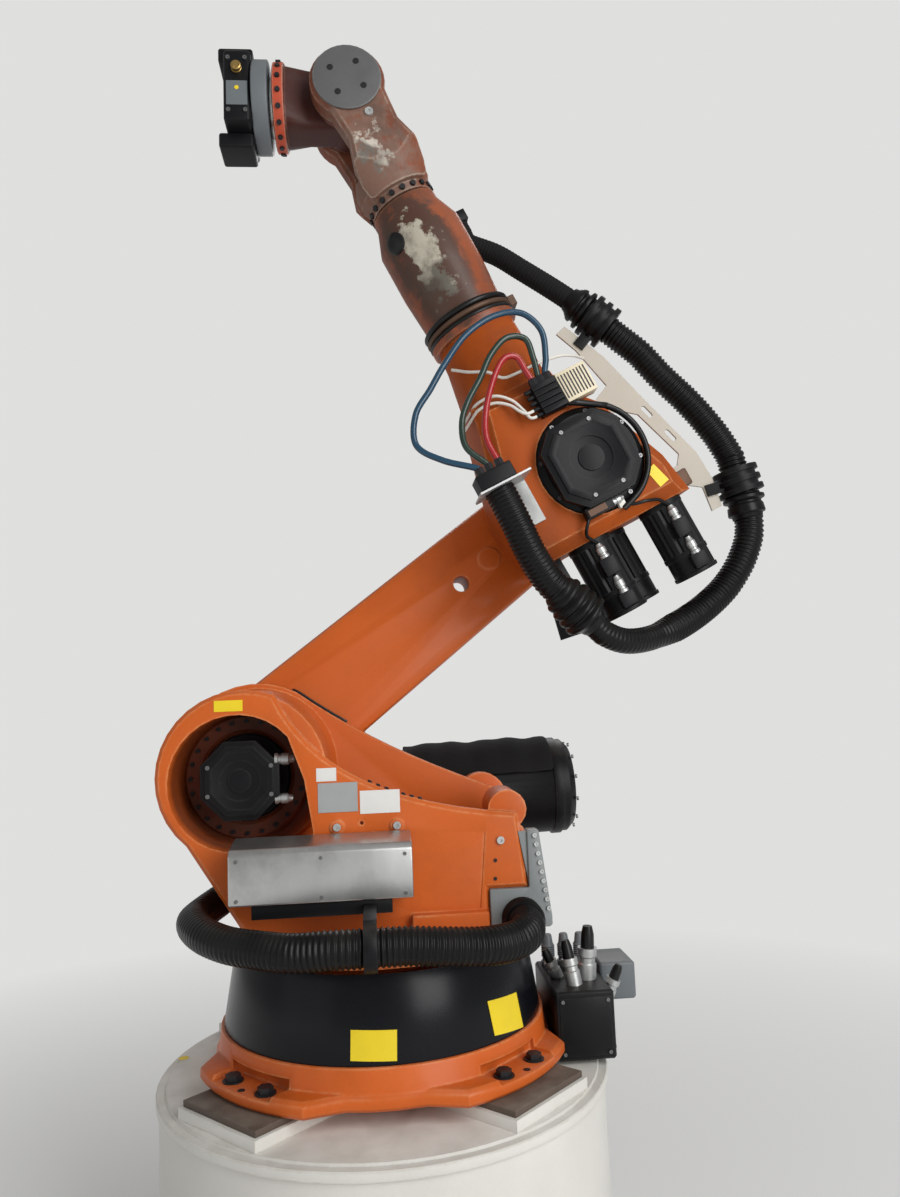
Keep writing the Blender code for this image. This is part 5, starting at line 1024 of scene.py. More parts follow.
class FINISHES_OT_arm(bpy.types.Operator):
    """Makes the shared node groups and every finish"""
    bl_idname = "robot_arm.finishes"
    bl_label = "Finishes"

    def execute(self, context):
        c = context.scene.arm_colours
        bore = bore_shade_group((SHOULDER.x, 0, SHOULDER.z), 0.215, 0.222)
        GROUPS.update(tone=tone_group(), wear=wear_group(), edge=edge_group(), dust=dust_group(),
                      grime=grime_group(), bore=bore, grain=grain_group())
        TREES.update(fasteners=fastener_tree(), ribs=rib_tree(), hose=hose_tree())

        # Layers that several finishes share, and the rubbed patches of the tube and of the wrist
        thin = rubbed(0.03, c.worn, 16)
        # pale: a lighter orange along the castings' rounded edges, painted highlight as well as edge wear
        pale = edges(0.85, (0.74, 0.33, 0.14), 0.009)
        soot = grime(0.16, 5.0, (0.20, 0.05, 0.018))
        scraped = rubbed(0.42, c.bare, 15, (0.075, 0.033, 0.021), ARM @ Vector((0.745, 0.115, -0.095)),
                         (5.0, 7.5, 13.5), ARM_ANGLE)
        scuffed = rubbed(0.31, (0.56, 0.50, 0.43), 24, (0.20, 0.11, 0.08), ARM @ Vector((1.09, 0.12, -0.095)),
                         (6.5, 7.0, 10.0), ARM_ANGLE)
        cast = {"grain": 420, "wave": 0.5, "bump": 0.10}
        bright = {"coat": 0.05, "specular": 0.25, **cast}
        # The elbow's orange is the castings' orange darkened: painted shade for the dimmer light on the elbow
        shaded_orange = tuple(0.62 * k for k in c.orange)

        # Name, colour, roughness, how much it varies, the scale it varies at, layers, skin
        for name, tint, roughness, vary, scale, layers, skin in (
                ("orange_paint", c.orange, 0.42, 0.12, 4, (thin, pale, soot, dust(0.12)), bright),
                # The column's orange, with painted shade inside the shoulder's bore
                ("column_paint_with_bore_shade", c.orange, 0.42, 0.12, 4, (thin, pale, soot, ("bore", {}), dust(0.12)), bright),
                ("elbow_shaded_paint", shaded_orange, 0.5, 0.2, 4, (thin, pale, grime(0.3, 6.0), dust(0.03)),
                 {"specular": 0.10, **cast}),
                # The gear rim's orange, darkened as painted shade deep in the shoulder's bore
                ("bore_shade_paint", (0.16, 0.034, 0.010), 0.5, 0.2, 9, (grime(0.5),), {}),
                ("arm_paint", c.arm, 0.42, 0.3, 4, (scraped, pale, grime(0.7, 8.0), dust(0.15)),
                 {"coat": 0.05, **cast}),
                # The wrist's pale edges are worn paint and a painted highlight on its rims
                ("worn_paint", c.worn, 0.5, 0.3, 7,
                 (scuffed, edges(0.85, (0.50, 0.42, 0.34), 0.010), grime(0.55, 10.0), dust(0.15)),
                 {"specular": 0.25, "grain": 360}),
                ("hand_paint", c.dark_red, 0.5, 0.2, 9,
                 (rubbed(0.05, c.black, 22), edges(0.9, (0.36, 0.16, 0.12), 0.009), grime(0.5, 12.0), dust(0.08)),
                 {"specular": 0.25, "grain": 360}),
                ("cover_grey", (0.105, 0.105, 0.106), 0.42, 0.12, 11,
                 (edges(0.5, (0.4, 0.38, 0.35)), grime(0.2), dust(0.2)), {"grain": 420}),
                ("plate_grey", (0.21, 0.225, 0.225), 0.44, 0.08, 8, (dust(0.25),), {"grain": 420}),
                ("hand_flange_paint", (0.46, 0.070, 0.030), 0.45, 0.1, 8, (edges(0.8), dust(0.2)), {}),
                ("black_coating", c.black, 0.42, 0.12, 8, (edges(0.4, (0.05, 0.05, 0.05)), dust(0.08)),
                 {"grain": 520, "bump": 0.16, "specular": 0.17}),
                ("skirt_coating", c.gloss, 0.27, 0.05, 4, (dust(0.02),),
                 {"grain": 200, "bump": 0.03, "specular": 0.2}),
                ("hose_rubber", c.rubber, 0.33, 0.25, 14, (dust(0.03),),
                 {"grain": 260, "bump": 0.1, "specular": 0.19}),
                ("clean_rubber", c.rubber, 0.34, 0.1, 14, (dust(0.05),),
                 {"grain": 260, "bump": 0.05, "specular": 0.3}),
                ("grey_coating", c.grey, 0.44, 0.08, 8, (dust(0.25),), {"grain": 420}),
                ("pedestal_paint", c.pedestal, 0.5, 0.06, 3,
                 (edges(0.5, (0.40, 0.36, 0.29)), grime(0.10, 2.5, (0.30, 0.27, 0.22)), dust(0.32)),
                 {"grain": 260}),
                ("bedplate_steel", c.bedplate, 0.6, 0.2, 12, (dust(0.3),), {}),
                ("bright_steel", c.steel, 0.28, 0.05, 8, (),
                 {"metallic": 1, "grain": 80, "bump": 0.06, "stretched": (1, 1, 14)}),
                ("sheet_metal", c.steel, 0.34, 0.12, 6, (grime(0.45, 5.0, (0.19, 0.19, 0.18)), dust(0.2)),
                 {"metallic": 0.9, "grain": 60, "bump": 0.05, "stretched": (3, 1, 1)}),
                ("galvanised", (0.50, 0.51, 0.50), 0.42, 0.16, 30, (),
                 {"metallic": 0.75, "grain": 120, "bump": 0.08}),
                ("brown_steel", (0.10, 0.055, 0.035), 0.5, 0.2, 30, (), {"metallic": 0.4}),
                ("brass", (0.45, 0.30, 0.10), 0.35, 0.08, 30, (), {"metallic": 0.9}),
                ("screw_steel", (0.20, 0.20, 0.20), 0.4, 0.08, 30, (), {"metallic": 0.8}),
                ("black_steel", (0.022, 0.022, 0.024), 0.42, 0.1, 30, (), {"metallic": 0.3}),
                ("beige_sheet", c.beige, 0.5, 0.06, 9, (dust(0.25),), {}),
                ("white_plastic", (0.72, 0.70, 0.64), 0.45, 0.05, 9, (), {}),
                ("cream_plastic", c.cream, 0.4, 0.05, 9, (dust(0.1),), {}),
                ("yellow_plate", c.yellow, 0.4, 0.05, 20, (), {}),
                ("grey_plate", (0.42, 0.43, 0.43), 0.35, 0.05, 20, (), {"metallic": 0.5}),
                ("white_plate", (0.70, 0.69, 0.66), 0.4, 0.05, 20, (), {}),
                ("orange_tag", (0.60, 0.10, 0.03), 0.4, 0.05, 20, (), {}),
                ("blue_hose", c.blue, 0.3, 0.06, 20, (), {"coat": 0.3}),
                ("green_hose", c.green, 0.3, 0.06, 20, (), {"coat": 0.3}),
                ("red_hose", c.red, 0.3, 0.06, 20, (), {"coat": 0.3})):
            make_finish(name, tint, roughness, vary, scale, layers, **skin)
        woven_finish("textile", c.textile)
        return {"FINISHED"}


class HOSES_OT_arm(bpy.types.Operator):
    """Makes the seven hoses along their packed routes"""
    bl_idname = "robot_arm.hoses"
    bl_label = "Hoses"

    def execute(self, context):
        s = context.scene.arm_sizes

        # A plain stretch: from and to as shares of the length, its radius, and the share it takes to narrow
        hose("column_hose", "hose_rubber", s.rib_pitch, s.rib_depth, plain=(0.52, 1.3, 0.0405, 0.16))
        hose("pack_loop", "hose_rubber", s.rib_pitch, s.rib_depth, plain=(-0.2, 0.20, 0.0345, 0.05))
        hose("pack_lower", "hose_rubber", pitch=0.0115, depth=0.0028)
        hose("front_hose", "textile", pitch=0.011, depth=0.001)
        for tone in ("blue", "green", "red"):
            hose(f"{tone}_air_hose", f"{tone}_hose", sides=16)
        return {"FINISHED"}


class PEDESTAL_OT_arm(bpy.types.Operator):
    """Makes the round pedestal and the four bedplates"""
    bl_idname = "robot_arm.pedestal"
    bl_label = "Pedestal"

    def execute(self, context):
        refined("pedestal_floor_plate", "pedestal_paint", 0.002, name="pedestal_foot")
        refined("pedestal_shell", "pedestal_paint", 0, name="pedestal_wall")
        refined("pedestal_top_plate", "pedestal_paint", 0.0015, name="pedestal_top")

        # The weld bead at the wall's foot
        wall, plate_top, wide = 0.5765, 0.0201, 0.0065
        bead = [(wall, plate_top)] + [(wall + wide * cos(t), plate_top + wide * sin(t))
                                      for t in (0.05, 0.4, 0.8, 1.2, 1.5)]
        piece_of("pedestal_weld", turned(bead, steps=128), "pedestal_paint", "base", GROUND)
        for corner in ("front_left", "rear_left", "rear_right", "front_right"):
            refined(f"bedplate_{corner}", "bedplate_steel", 0.002)
        return {"FINISHED"}


class BASE_OT_arm(bpy.types.Operator):
    """Makes the base casting, its bolts, the skirt and the connection box"""
    bl_idname = "robot_arm.base"
    bl_label = "Base"

    def execute(self, context):
        s = context.scene.arm_sizes
        refined("base_frame", "orange_paint", 0.0025, name="base_casting")
        pad_top, quarter, apart = 0.064 + DATUM, radians(45), radians(7.66)
        dowels = ring_spots(0.468, 4, "Z", pad_top, quarter)
        fasteners("base_dowels", dowels, "black_steel", "base", 0.0085, 0.0006, GROUND, recess=0.004,
                  thick=0.0004)
        rings = [ring_spots(0.450, 4, "Z", pad_top, quarter + side) for side in (-apart, apart)]
        bolts = [spot for pair in zip(*rings) for spot in pair]
        fasteners("base_bolts", bolts, "black_steel", "base", s.base_head, 0.013, GROUND, sides=6,
                  recess=0.0001, washer=s.base_washer, thick=0.003)

        # The skirt narrows evenly from its foot to its top
        refined("base_skirt", "skirt_coating", 0.0025, name="skirt")
        foot_radius, foot_height, narrower, tall = 0.417, 0.1263, 0.031, 0.1897

        def skirt_radius(height):
            return foot_radius - narrower * (height - foot_height) / tall

        plates = [curved_plate(corners, 0.001, skirt_radius) for corners in (
            [(79.2, 0.203), (94.0, 0.199), (93.6, 0.1356), (79.2, 0.140)],
            [(127.6, 0.220), (143.9, 0.2115), (144.5, 0.130), (128.6, 0.1426)])]
        piece_of("skirt_plates", joined(plates), "yellow_plate", "base")
        piece_of("paint_dot", disc(0.014, -0.0075, -0.0072, "Z", (0.548, -0.098, 0), 28), "yellow_plate", "base")

        refined("connection_box", "black_coating", 0.004)
        piece_of("connection_box_side_lid", box((-0.584, 0.150, 0.016), (-0.450, 0.1525, 0.160), 0.001, 2),
                 "black_coating", "base")
        fasteners("side_lid_screws", grid_spots((-0.576, -0.458), (0.1525,), (0.024, 0.152), NEAR),
                  "screw_steel", "base", 0.0045, 0.0025)
        piece_of("connection_box_lid", box((-0.5939, -0.136, 0.020), (-0.5933, 0.136, 0.160), 0.0002),
                 "black_coating", "base")
        fasteners("connection_box_screws", grid_spots((-0.5939,), (-0.128, 0, 0.128), (0.028, 0.152), (-1, 0, 0)),
                  "screw_steel", "base", 0.0045, 0.0025)
        refined("socket_housing", "grey_coating", 0.004)

        foot = [(0, 0.175 + SEAT), (0.0209, 0.175 + SEAT), (0.0209, 0.188), (0.0165, 0.189), (0.0165, 0.200)]
        grips = [(0.0195 - (0.0022 if k % 2 else 0), 0.201 + 0.0028 * k) for k in range(12)]
        tail = [(0.0150, 0.236), (0.0120, 0.258), (0.0095, 0.261), (0, 0.261)]
        plugs = [turned(foot + grips + tail, "Z", (x, -0.10, 0), 40) for x in (-0.5618, -0.5158, -0.4698)]
        piece_of("cable_plugs_dressed", joined(plugs), "grey_coating", "base", node_name="cable_plugs")

        # The loose connectors at the foot: start, end and radius of each
        bodies, sleeves = [], []
        for start, end, radius in (((-0.505, 0.085, 0.172), (-0.487, 0.070, 0.285), 0.021),
                                   ((-0.548, 0.040, 0.172), (-0.556, 0.045, 0.312), 0.025),
                                   ((-0.475, 0.010, 0.172), (-0.440, 0.015, 0.250), 0.017),
                                   ((-0.590, 0.070, 0.130), (-0.628, 0.080, 0.215), 0.019)):
            length = (Vector(end) - Vector(start)).length
            for kept, shares in ((bodies, ((0, 0), (1, 0), (1, 0.30), (0.86, 0.33), (0.86, 0.42), (1.04, 0.45),
                                           (1.04, 0.60), (0, 0.60))),
                                 (sleeves, ((0, 0.60), (0.74, 0.60), (0.70, 0.85), (0.50, 1), (0, 1)))):
                kept.append(aimed([(radius * a, length * b) for a, b in shares], start, end))
        piece_of("foot_connectors", joined(bodies), "galvanised", "base")
        piece_of("foot_connector_sleeves", joined(sleeves), "clean_rubber", "base")
        return {"FINISHED"}


class COLUMN_OT_arm(bpy.types.Operator):
    """Makes the turning column with its motor, side box, plates, boot and strap"""
    bl_idname = "robot_arm.column"
    bl_label = "Column"

    def execute(self, context):
        s = context.scene.arm_sizes

        # Faces that look to the near side: the casting's wall, its bosses and the plates on it
        wall, boss_face, plate_back = 0.2300, 0.2350, 0.2303
        screws = ((0.103, 0.631), (-0.046, 0.629))
        bosses = [disc(0.017, wall - 0.0001, boss_face, "Y", (x, 0, DATUM + z), 32) for x, z in screws]
        seam = [(-0.2675, 0.600), (-0.2655, 0.600), (-0.2465, 0.415), (-0.2485, 0.415)]
        groove = prism([(x, z + DATUM) for x, z in seam], 0.2275, 0.240)
        hole = disc(0.005, 0.215, 0.25, "Y", (0.042, 0, DATUM + 0.638), 20)
        refined("rotating_column", "column_paint_with_bore_shade", s.edge, 3, "column_casting", bosses, [hole, groove])
        heads = [((x, boss_face, z), NEAR) for x, z in screws] + [((-0.305, wall + 0.0001, 0.579), NEAR)]
        fasteners("column_wall_screws", heads, "galvanised", "column", 0.0095, 0.006)
        pins = [((x, wall + 0.0001, z), NEAR) for x, z in ((-0.290, 0.530), (-0.288, 0.485))]
        fasteners("column_wall_pins", pins, "black_steel", "column", 0.0045, 0.001)
        rim = hits("rotating_column", [(0.020 - 0.021 * k, 0.211, 2.0) for k in range(7)], DOWN)
        fasteners("column_rim_screws", rim, "black_steel", "column", 0.0055, 0.004, GROUND)
        lip = hits("rotating_column", [(0.235 - 0.019 * k, -0.092, 2.0) for k in range(9)], DOWN)
        seal = strip([(spot[0].x, spot[0].z + 0.002) for spot in lip], 0.010, -0.1145, -0.080)
        piece_of("column_gap_seal", rounded(seal, 0.002), "clean_rubber", "column", GROUND)

        # The gear rim deep in the bore is darkened with painted shade
        ring = turned([(0.119, SEAT), (0.1672, SEAT), (0.1672, 0.022), (0.160, 0.028), (0.127, 0.028),
                       (0.119, 0.022)], "Y", SHOULDER_IN_COLUMN)
        piece_of("shoulder_gear_rim", ring, "bore_shade_paint", "column")
        fasteners("shoulder_gear_screws", ring_spots(0.1490, 24, "Y", 0.028, centre=SHOULDER_IN_COLUMN),
                  "black_steel", "column", 0.0056, 0.007)
        body = [(0, SEAT), (0.1148, SEAT), (0.1148, 0.016), (0.110, 0.020), (0.0775, 0.020)]
        body += [(0.0775 - (0.005 if k % 2 else 0), 0.028 + 0.0065 * k) for k in range(16)]
        body += [(0.0775, 0.1353), (0, 0.1353)]
        piece_of("shoulder_motor_body", turned(body, "Y", SHOULDER_IN_COLUMN, 72), "black_coating", "column",
                 node_name="shoulder_motor")
        motor_cap("shoulder_motor_cover", "shoulder_motor_cap", 0.100, 0.040, (0.35, 0.75), 0.1356, 0.1693,
                  "column")
        connector("shoulder_plug_upper", (0.262, 0.150, 0.800), "X", "column", 0.014, -0.050)
        connector("shoulder_plug_lower", (0.262, 0.150, 0.700), "X", "column", 0.012, -0.045)

        refined("side_box", "sheet_metal", 0.004, 3)
        fasteners("side_box_screws", grid_spots((-0.060, 0.137, 0.334), (0.3601,), (0.489, 0.579), NEAR),
                  "screw_steel", "column", 0.0042, 0.0022)
        # The bracket under the box is given the black coating as painted shade, for the box's shadow over it
        refined("side_box_bracket", "black_coating", 0.0015)
        refined("rear_hose_plate", "plate_grey", name="rear_plate")
        starts = [COLUMN @ Vector((-0.3905 - 0.0035 * k, 0.30, 0.588 - 0.0225 * k)) for k in range(9)]
        fasteners("rear_plate_screws", hits("rear_hose_plate", starts, FAR), "galvanised", "column", 0.0055,
                  0.005, GROUND)
        web = prism([(-0.350, 0.598), (-0.384, 0.598), (-0.396, 0.462), (-0.374, 0.462)], 0.192, 0.229)
        piece_of("rear_plate_web", rounded(web, 0.001, 1), "plate_grey", "column")
        boot = turned(ribbed_profile(0.0518, 0.004, 0.2363, 0.2860, 4), "Y", (-0.350, 0, 0.388), 56)
        piece_of("hose_boot_dressed", boot, "hose_rubber", "column", node_name="hose_boot")
        refined("hose_strap", "black_coating", 0.0015)
        refined("counterbalance_fork", "orange_paint", s.edge, 3)
        for name, low, high, finish in (
                ("rating_plate", (0.05, plate_back, 0.667), (0.149, 0.2315, 0.740), "grey_plate"),
                ("small_plate", (0.102, plate_back, 0.744), (0.152, 0.2312, 0.777), "white_plate"),
                ("white_plate_rear", (-0.055, plate_back, 0.660), (0.045, 0.2312, 0.717), "white_plate"),
                ("ring_plate", (0.331, plate_back, 0.927), (0.402, 0.2313, 0.955), "yellow_plate"),
                ("hose_tag", (-0.372, 0.2363, 0.318), (-0.340, 0.2372, 0.334), "orange_tag")):
            piece_of(name, box(low, high), finish, "column")
        return {"FINISHED"}


class COUNTERBALANCE_OT_arm(bpy.types.Operator):
    """Makes the counterbalance cylinder and its rod"""
    bl_idname = "robot_arm.counterbalance"
    bl_label = "Counterbalance"

    def execute(self, context):
        refined("counterbalance_cylinder", "black_coating", name="counterbalance_barrel")
        refined("counterbalance_rod", "bright_steel", 0.001)
        fasteners("counterbalance_screws", ring_spots(0.128, 12, "X", -0.3005, 0.26, -1), "screw_steel",
                  "cylinder", 0.006, 0.004)

        # The soft hood over the top half, in folds along the barrel
        hood, reach = [], 0.1525
        turns = [radians(a) for a in range(22, 160, 6)]
        for k in range(16):
            swell = 0.0045 * sin(2.1 * k) + 0.003 * sin(5.3 * k)
            hood.append([(-0.235 + 0.030 * k, (reach + swell * (0.4 + 0.6 * sin(t))) * cos(t),
                          (reach + swell) * sin(t)) for t in turns])
        piece_of("counterbalance_hood", shell(hood, 0.004), "textile", "cylinder", smooth=60)
        pivot, face = (-0.3, 0, 0.650), -0.5475
        piece_of("trunnion_cap", disc(0.052, face, -0.5418, "Y", pivot, 48, ease=0.0015), "grey_coating",
                 "column")
        fasteners("trunnion_cap_screws", ring_spots(0.040, 6, "Y", face, 0.3, -1, pivot), "screw_steel", "column",
                  0.005, 0.004)
        return {"FINISHED"}


class LINK_OT_arm(bpy.types.Operator):
    """Makes the link arm"""
    bl_idname = "robot_arm.link"
    bl_label = "Link arm"

    def execute(self, context):
        refined("link_arm", "orange_paint", context.scene.arm_sizes.edge, 3, "link_casting")
        fasteners("link_hub_screws", ring_spots(0.150, 14, "Y", -0.2903, 0.2, -1), "screw_steel", "link", 0.009,
                  0.008)
        return {"FINISHED"}


class ELBOW_OT_arm(bpy.types.Operator):
    """Makes the elbow housing, its motors and the tube"""
    bl_idname = "robot_arm.elbow"
    bl_label = "Elbow and tube"

    def execute(self, context):
        # The housing's near corner is cut off
        near_corner = prism([(0.206, 0.168), (0.206, 0.270), (0.070, 0.270)], -0.260, 0.100, "X")
        # The elbow housing takes the darkened orange, painted shade for its dimmer light
        refined("elbow_housing", "elbow_shaded_paint", context.scene.arm_sizes.edge, 3, "elbow_casting",
                removed=[moved(near_corner, ARM)])
        refined("arm_extension", "arm_paint", name="arm_tube")
        fasteners("tube_flange_screws", ring_spots(0.1265, 16, "X", 0.5246, 0.1, centre=(0, 0, -ARM_OFFSET)),
                  "screw_steel", "arm", 0.0058, 0.005)
        body = [(0, 0.1823), (0.1488, 0.1823), (0.1488, 0.194), (0.143, 0.200), (0.1275, 0.204),
                (0.1275, 0.2223), (0, 0.2223)]
        piece_of("elbow_motor_body", turned(body, "Y"), "black_coating", "arm", node_name="elbow_motor")
        fasteners("elbow_motor_screws", ring_spots(0.1365, 8, "Y", 0.2005, pi / 8), "screw_steel", "arm", 0.006,
                  0.006)
        motor_cap("elbow_motor_cover", "elbow_motor_cap", 0.118, 0.068, (0, -0.010), 0.2226, 0.2523, "arm")

        # Three wrist motors: round ends, a fluted barrel, and boxes with plugs on the two near ones
        for which, y, z in (("lower", 0.105, -0.09), ("upper", 0.105, 0.14), ("far", -0.035, 0.0)):
            first, *rest = [disc(radius, low, high, "X", (0, y, z), 64, ease=ease) for radius, low, high, ease in (
                (0.0638, -0.206, -0.19 - SEAT, 0.002), (0.0638, -0.352, -0.3375, 0.002),
                (0.0605, -0.398, -0.3515, 0.002), (0.0638, -0.4098, -0.3975, 0.003))]
            barrel = prism(fluted(0.0620, 0.005, 14, (y, z)), -0.338, -0.2055, "X")
            piece_of(f"wrist_motor_{which}_dressed", joined([first, barrel, *rest]), "black_coating", "arm",
                     node_name=f"wrist_motor_{which}")
            if which == "far":
                continue
            boxes = [box((low, y + 0.050, z - 0.021), (high, y + 0.078, z + 0.023), 0.004, 2)
                     for low, high in ((-0.300, -0.250), (-0.396, -0.356))]
            piece_of(f"wrist_motor_boxes_{which}", joined(boxes), "black_coating", "arm")
            for k, (x, length) in enumerate(((-0.250, 0.042), (-0.356, 0.050))):
                connector(f"wrist_motor_plug_{which}_{k}", (x, y + 0.066, z + 0.002), "X", "arm", 0.012, length)
        corners = [(-0.098, 0.122), (-0.089, 0.149), (-0.146, 0.165), (-0.153, 0.134)]
        piece_of("elbow_plate", prism(corners, 0.2003, 0.2013), "yellow_plate", "arm")
        piece_of("elbow_stop_block", box((-0.178, 0.030, 0.225), (-0.128, 0.075, 0.278), 0.005, 2),
                 "brown_steel", "arm")
        return {"FINISHED"}


class WIRING_OT_arm(bpy.types.Operator):
    """Makes the wires, cables, boxes and plugs round the elbow motor"""
    bl_idname = "robot_arm.wiring"
    bl_label = "Wiring"

    def execute(self, context):
        wires = [
            [(0.425, 0.085, -0.185), (0.387, 0.130, -0.161), (0.354, 0.160, -0.120), (0.317, 0.175, -0.095),
             (0.309, 0.180, -0.060), (0.308, 0.178, 0.012), (0.308, 0.160, 0.060), (0.305, 0.140, 0.100),
             (0.300, 0.090, 0.150), (0.298, 0.030, 0.190)],
            [(0.262, 0.100, -0.240), (0.283, 0.165, -0.200), (0.277, 0.198, -0.150), (0.243, 0.210, -0.115),
             (0.200, 0.222, -0.102), (0.172, 0.234, -0.100), (0.166, 0.235, -0.088), (0.166, 0.235, -0.075)],
            [(0.245, 0.120, -0.245), (0.264, 0.178, -0.205), (0.258, 0.204, -0.160), (0.232, 0.216, -0.128),
             (0.204, 0.228, -0.116), (0.187, 0.235, -0.106), (0.183, 0.235, -0.092), (0.183, 0.235, -0.075)]]
        piece_of("white_wires", joined([tube(line, 0.0043, 0.006, 10) for line in wires]), "white_plastic",
                 "arm", smooth=60)
        glands = [disc(0.0062, -0.082, -0.060, "Z", (0.166 + 0.0168 * k, 0.235, 0), 20, ease=0.001)
                  for k in range(5)]
        piece_of("terminal_glands", joined(glands), "black_coating", "arm")
        piece_of("elbow_motor_box", box((-0.144, 0.2003, -0.094), (-0.114, 0.236, -0.012), 0.003, 2),
                 "black_coating", "arm")
        piece_of("elbow_motor_box_lid", box((-0.139, 0.2362, -0.088), (-0.121, 0.2374, -0.034), 0.0004),
                 "brown_steel", "arm")
        bend = [(0.155 * cos(t), 0.2125, 0.155 * sin(t)) for t in [radians(45 + 15 * k) for k in range(9)]]
        cables = [
            ([(0.166, 0.236, 0.004), (0.150, 0.240, 0.030), (0.118, 0.222, 0.092), *bend,
              (-0.158, 0.210, 0.012)], 0.0085),
            ([(-0.206, 0.171, -0.088), (-0.180, 0.190, -0.108), (-0.166, 0.218, -0.112),
              (-0.148, 0.230, -0.100), (-0.136, 0.226, -0.088)], 0.0048),
            ([(-0.206, 0.171, 0.142), (-0.182, 0.190, 0.118), (-0.170, 0.214, 0.080), (-0.162, 0.214, 0.045),
              (-0.150, 0.208, 0.020)], 0.0048)]
        piece_of("elbow_motor_cables", joined([tube(line, wide, 0.005, 14) for line, wide in cables]),
                 "clean_rubber", "arm", smooth=60)
        connector("elbow_motor_plug", (-0.130, 0.218, -0.012), "Z", "arm", 0.010, 0.034)
        piece_of("elbow_motor_tag", box((-0.154, 0.190, 0.004), (-0.134, 0.214, 0.024), 0.002, 2),
                 "white_plastic", "arm")
        return {"FINISHED"}


class FITTINGS_OT_arm(bpy.types.Operator):
    """Makes the oil plug and bands of the tube, the hose nuts and the slots of the terminal block"""
    bl_idname = "robot_arm.fittings"
    bl_label = "Tube fittings"

    def execute(self, context):
        plug = turned([(0, 0.1255), (0.031, 0.1255), (0.031, 0.1315), (0.026, 0.1365), (0.012, 0.1395),
                       (0, 0.1400)], steps=40)
        spot = Matrix.Translation((0.826, 0, -ARM_OFFSET)) @ Matrix.Rotation(radians(-137.4), 4, "X")
        piece_of("tube_oil_plug", moved(plug, spot), "clean_rubber", "arm")

        # The bands, each with its place along the tube; the middle one has a lug
        lug = box((0.533, -0.012, 0.078), (0.565, 0.030, 0.100), 0.002)
        for name, along, thick, finish in (("front", 0.562, 0.0085, "clean_rubber"),
                                           ("middle", 0.544, 0.0080, "brown_steel"),
                                           ("rear", 0.528, 0.0070, "clean_rubber")):
            turns = [radians(-90 + 15 * k) for k in range(13)]
            section = [(0.1290 + thick * cos(t), along + thick * sin(t)) for t in turns]
            loop = turned([(0.118, along - thick), *section, (0.118, along + thick)], "X")
            moved(loop, Matrix.Translation((0, 0, -ARM_OFFSET)))
            piece_of(f"tube_band_{name}", joined([loop, lug] if name == "middle" else [loop]), finish, "arm")
        ends = [(0.0853, 0.285, z) for z in (-0.302, -0.275, -0.246)]
        ends += [(0.2421, 0.235, z) for z in (-0.004, -0.025, -0.046)]
        nuts = [turned([(0.0088, x), (0.0128, x), (0.0128, x + 0.016), (0.0105, x + 0.020), (0.0088, x + 0.020)],
                       "X", (0, y, z), 6) for x, y, z in ends]
        piece_of("air_hose_nuts", joined(nuts), "black_steel", "arm")
        slots = grown(bpy.data.meshes.new("points"), "ribs", {
            "Count": 9, "Start": (0.200, 0.2508, 0.016), "Step": (0, 0, 0.0095), "Bar": (0.066, 0.0012, 0.0035),
            "Material": FINISHES["black_steel"]})
        piece_of("terminal_slots", slots, "black_steel", "arm")
        return {"FINISHED"}


class PACK_OT_arm(bpy.types.Operator):
    """Makes the bracket, clamps, boots and end plates that hold the hose pack"""
    bl_idname = "robot_arm.pack"
    bl_label = "Hose pack"

    def execute(self, context):
        refined("boot_plate", "black_coating", 0.0012)
        refined("pack_bracket", "beige_sheet", 0.0006, 1)
        refined("pack_clamp_rear", "black_coating", 0.002)
        refined("pack_clamp_front", "black_coating", 0.002)

        # The joint's boot has four steps; each clamp has a boot of its own
        boot = [(0, 0), (0.044, 0), (0.049, 0.010)]
        for k, wide in enumerate((0.056, 0.061, 0.064, 0.066)):
            low = 0.014 + 0.026 * k
            boot += [(wide - 0.009, low), (wide, low + 0.006), (wide, low + 0.015), (wide - 0.009, low + 0.021)]
        boot += [(0.044, 0.124), (0.037, 0.1424), (0, 0.1424)]
        boot = rounded(aimed(boot, (-0.265, 0.222, -0.258), (-0.395, 0.190, -0.208), 56), 0.002)
        piece_of("hose_joint_boot_dressed", boot, "hose_rubber", "arm", node_name="hose_joint_boot")
        rear = [(0, 0), (0.049, 0), (0.049, 0.006), (0.060, 0.010), (0.060, 0.020), (0.048, 0.025),
                (0.048, 0.031), (0.052, 0.036), (0.0542, 0.058), (0.052, 0.062), (0.045, 0.062), (0.043, 0.074),
                (0, 0.074)]
        front = [(0, 0), (0.048, 0), (0.048, 0.005), (0.060, 0.009), (0.060, 0.019), (0.047, 0.025),
                 (0.047, 0.032), (0.054, 0.036), (0.052, 0.046), (0.040, 0.060), (0.036, 0.072), (0, 0.072)]
        boots = [rounded(aimed(profile, start, end, 56), 0.0015) for profile, start, end in (
            (rear, (-0.2745, 0, 0.4228), (-0.354, 0, 0.398)), (front, (0.4190, 0, 0.2824), (0.4890, 0, 0.2518)))]
        piece_of("pack_clamp_boots", joined(boots), "hose_rubber", "arm")
        refined("hose_end_plate", "galvanised", 0.0006, 1)
        refined("hose_end_plugs", "black_coating", 0.002)
        gaps = [slab((0.1735 + 0.0168 * k, 0.213, -0.070), (0.1757 + 0.0168 * k, 0.262, 0.006)) for k in range(4)]
        refined("terminal_sockets", "black_coating", 0.0015, removed=[moved(gap, ARM) for gap in gaps])
        refined("terminal_block", "cream_plastic", 0.001)
        refined("front_hose_stop", "black_coating", 0.002)
        return {"FINISHED"}


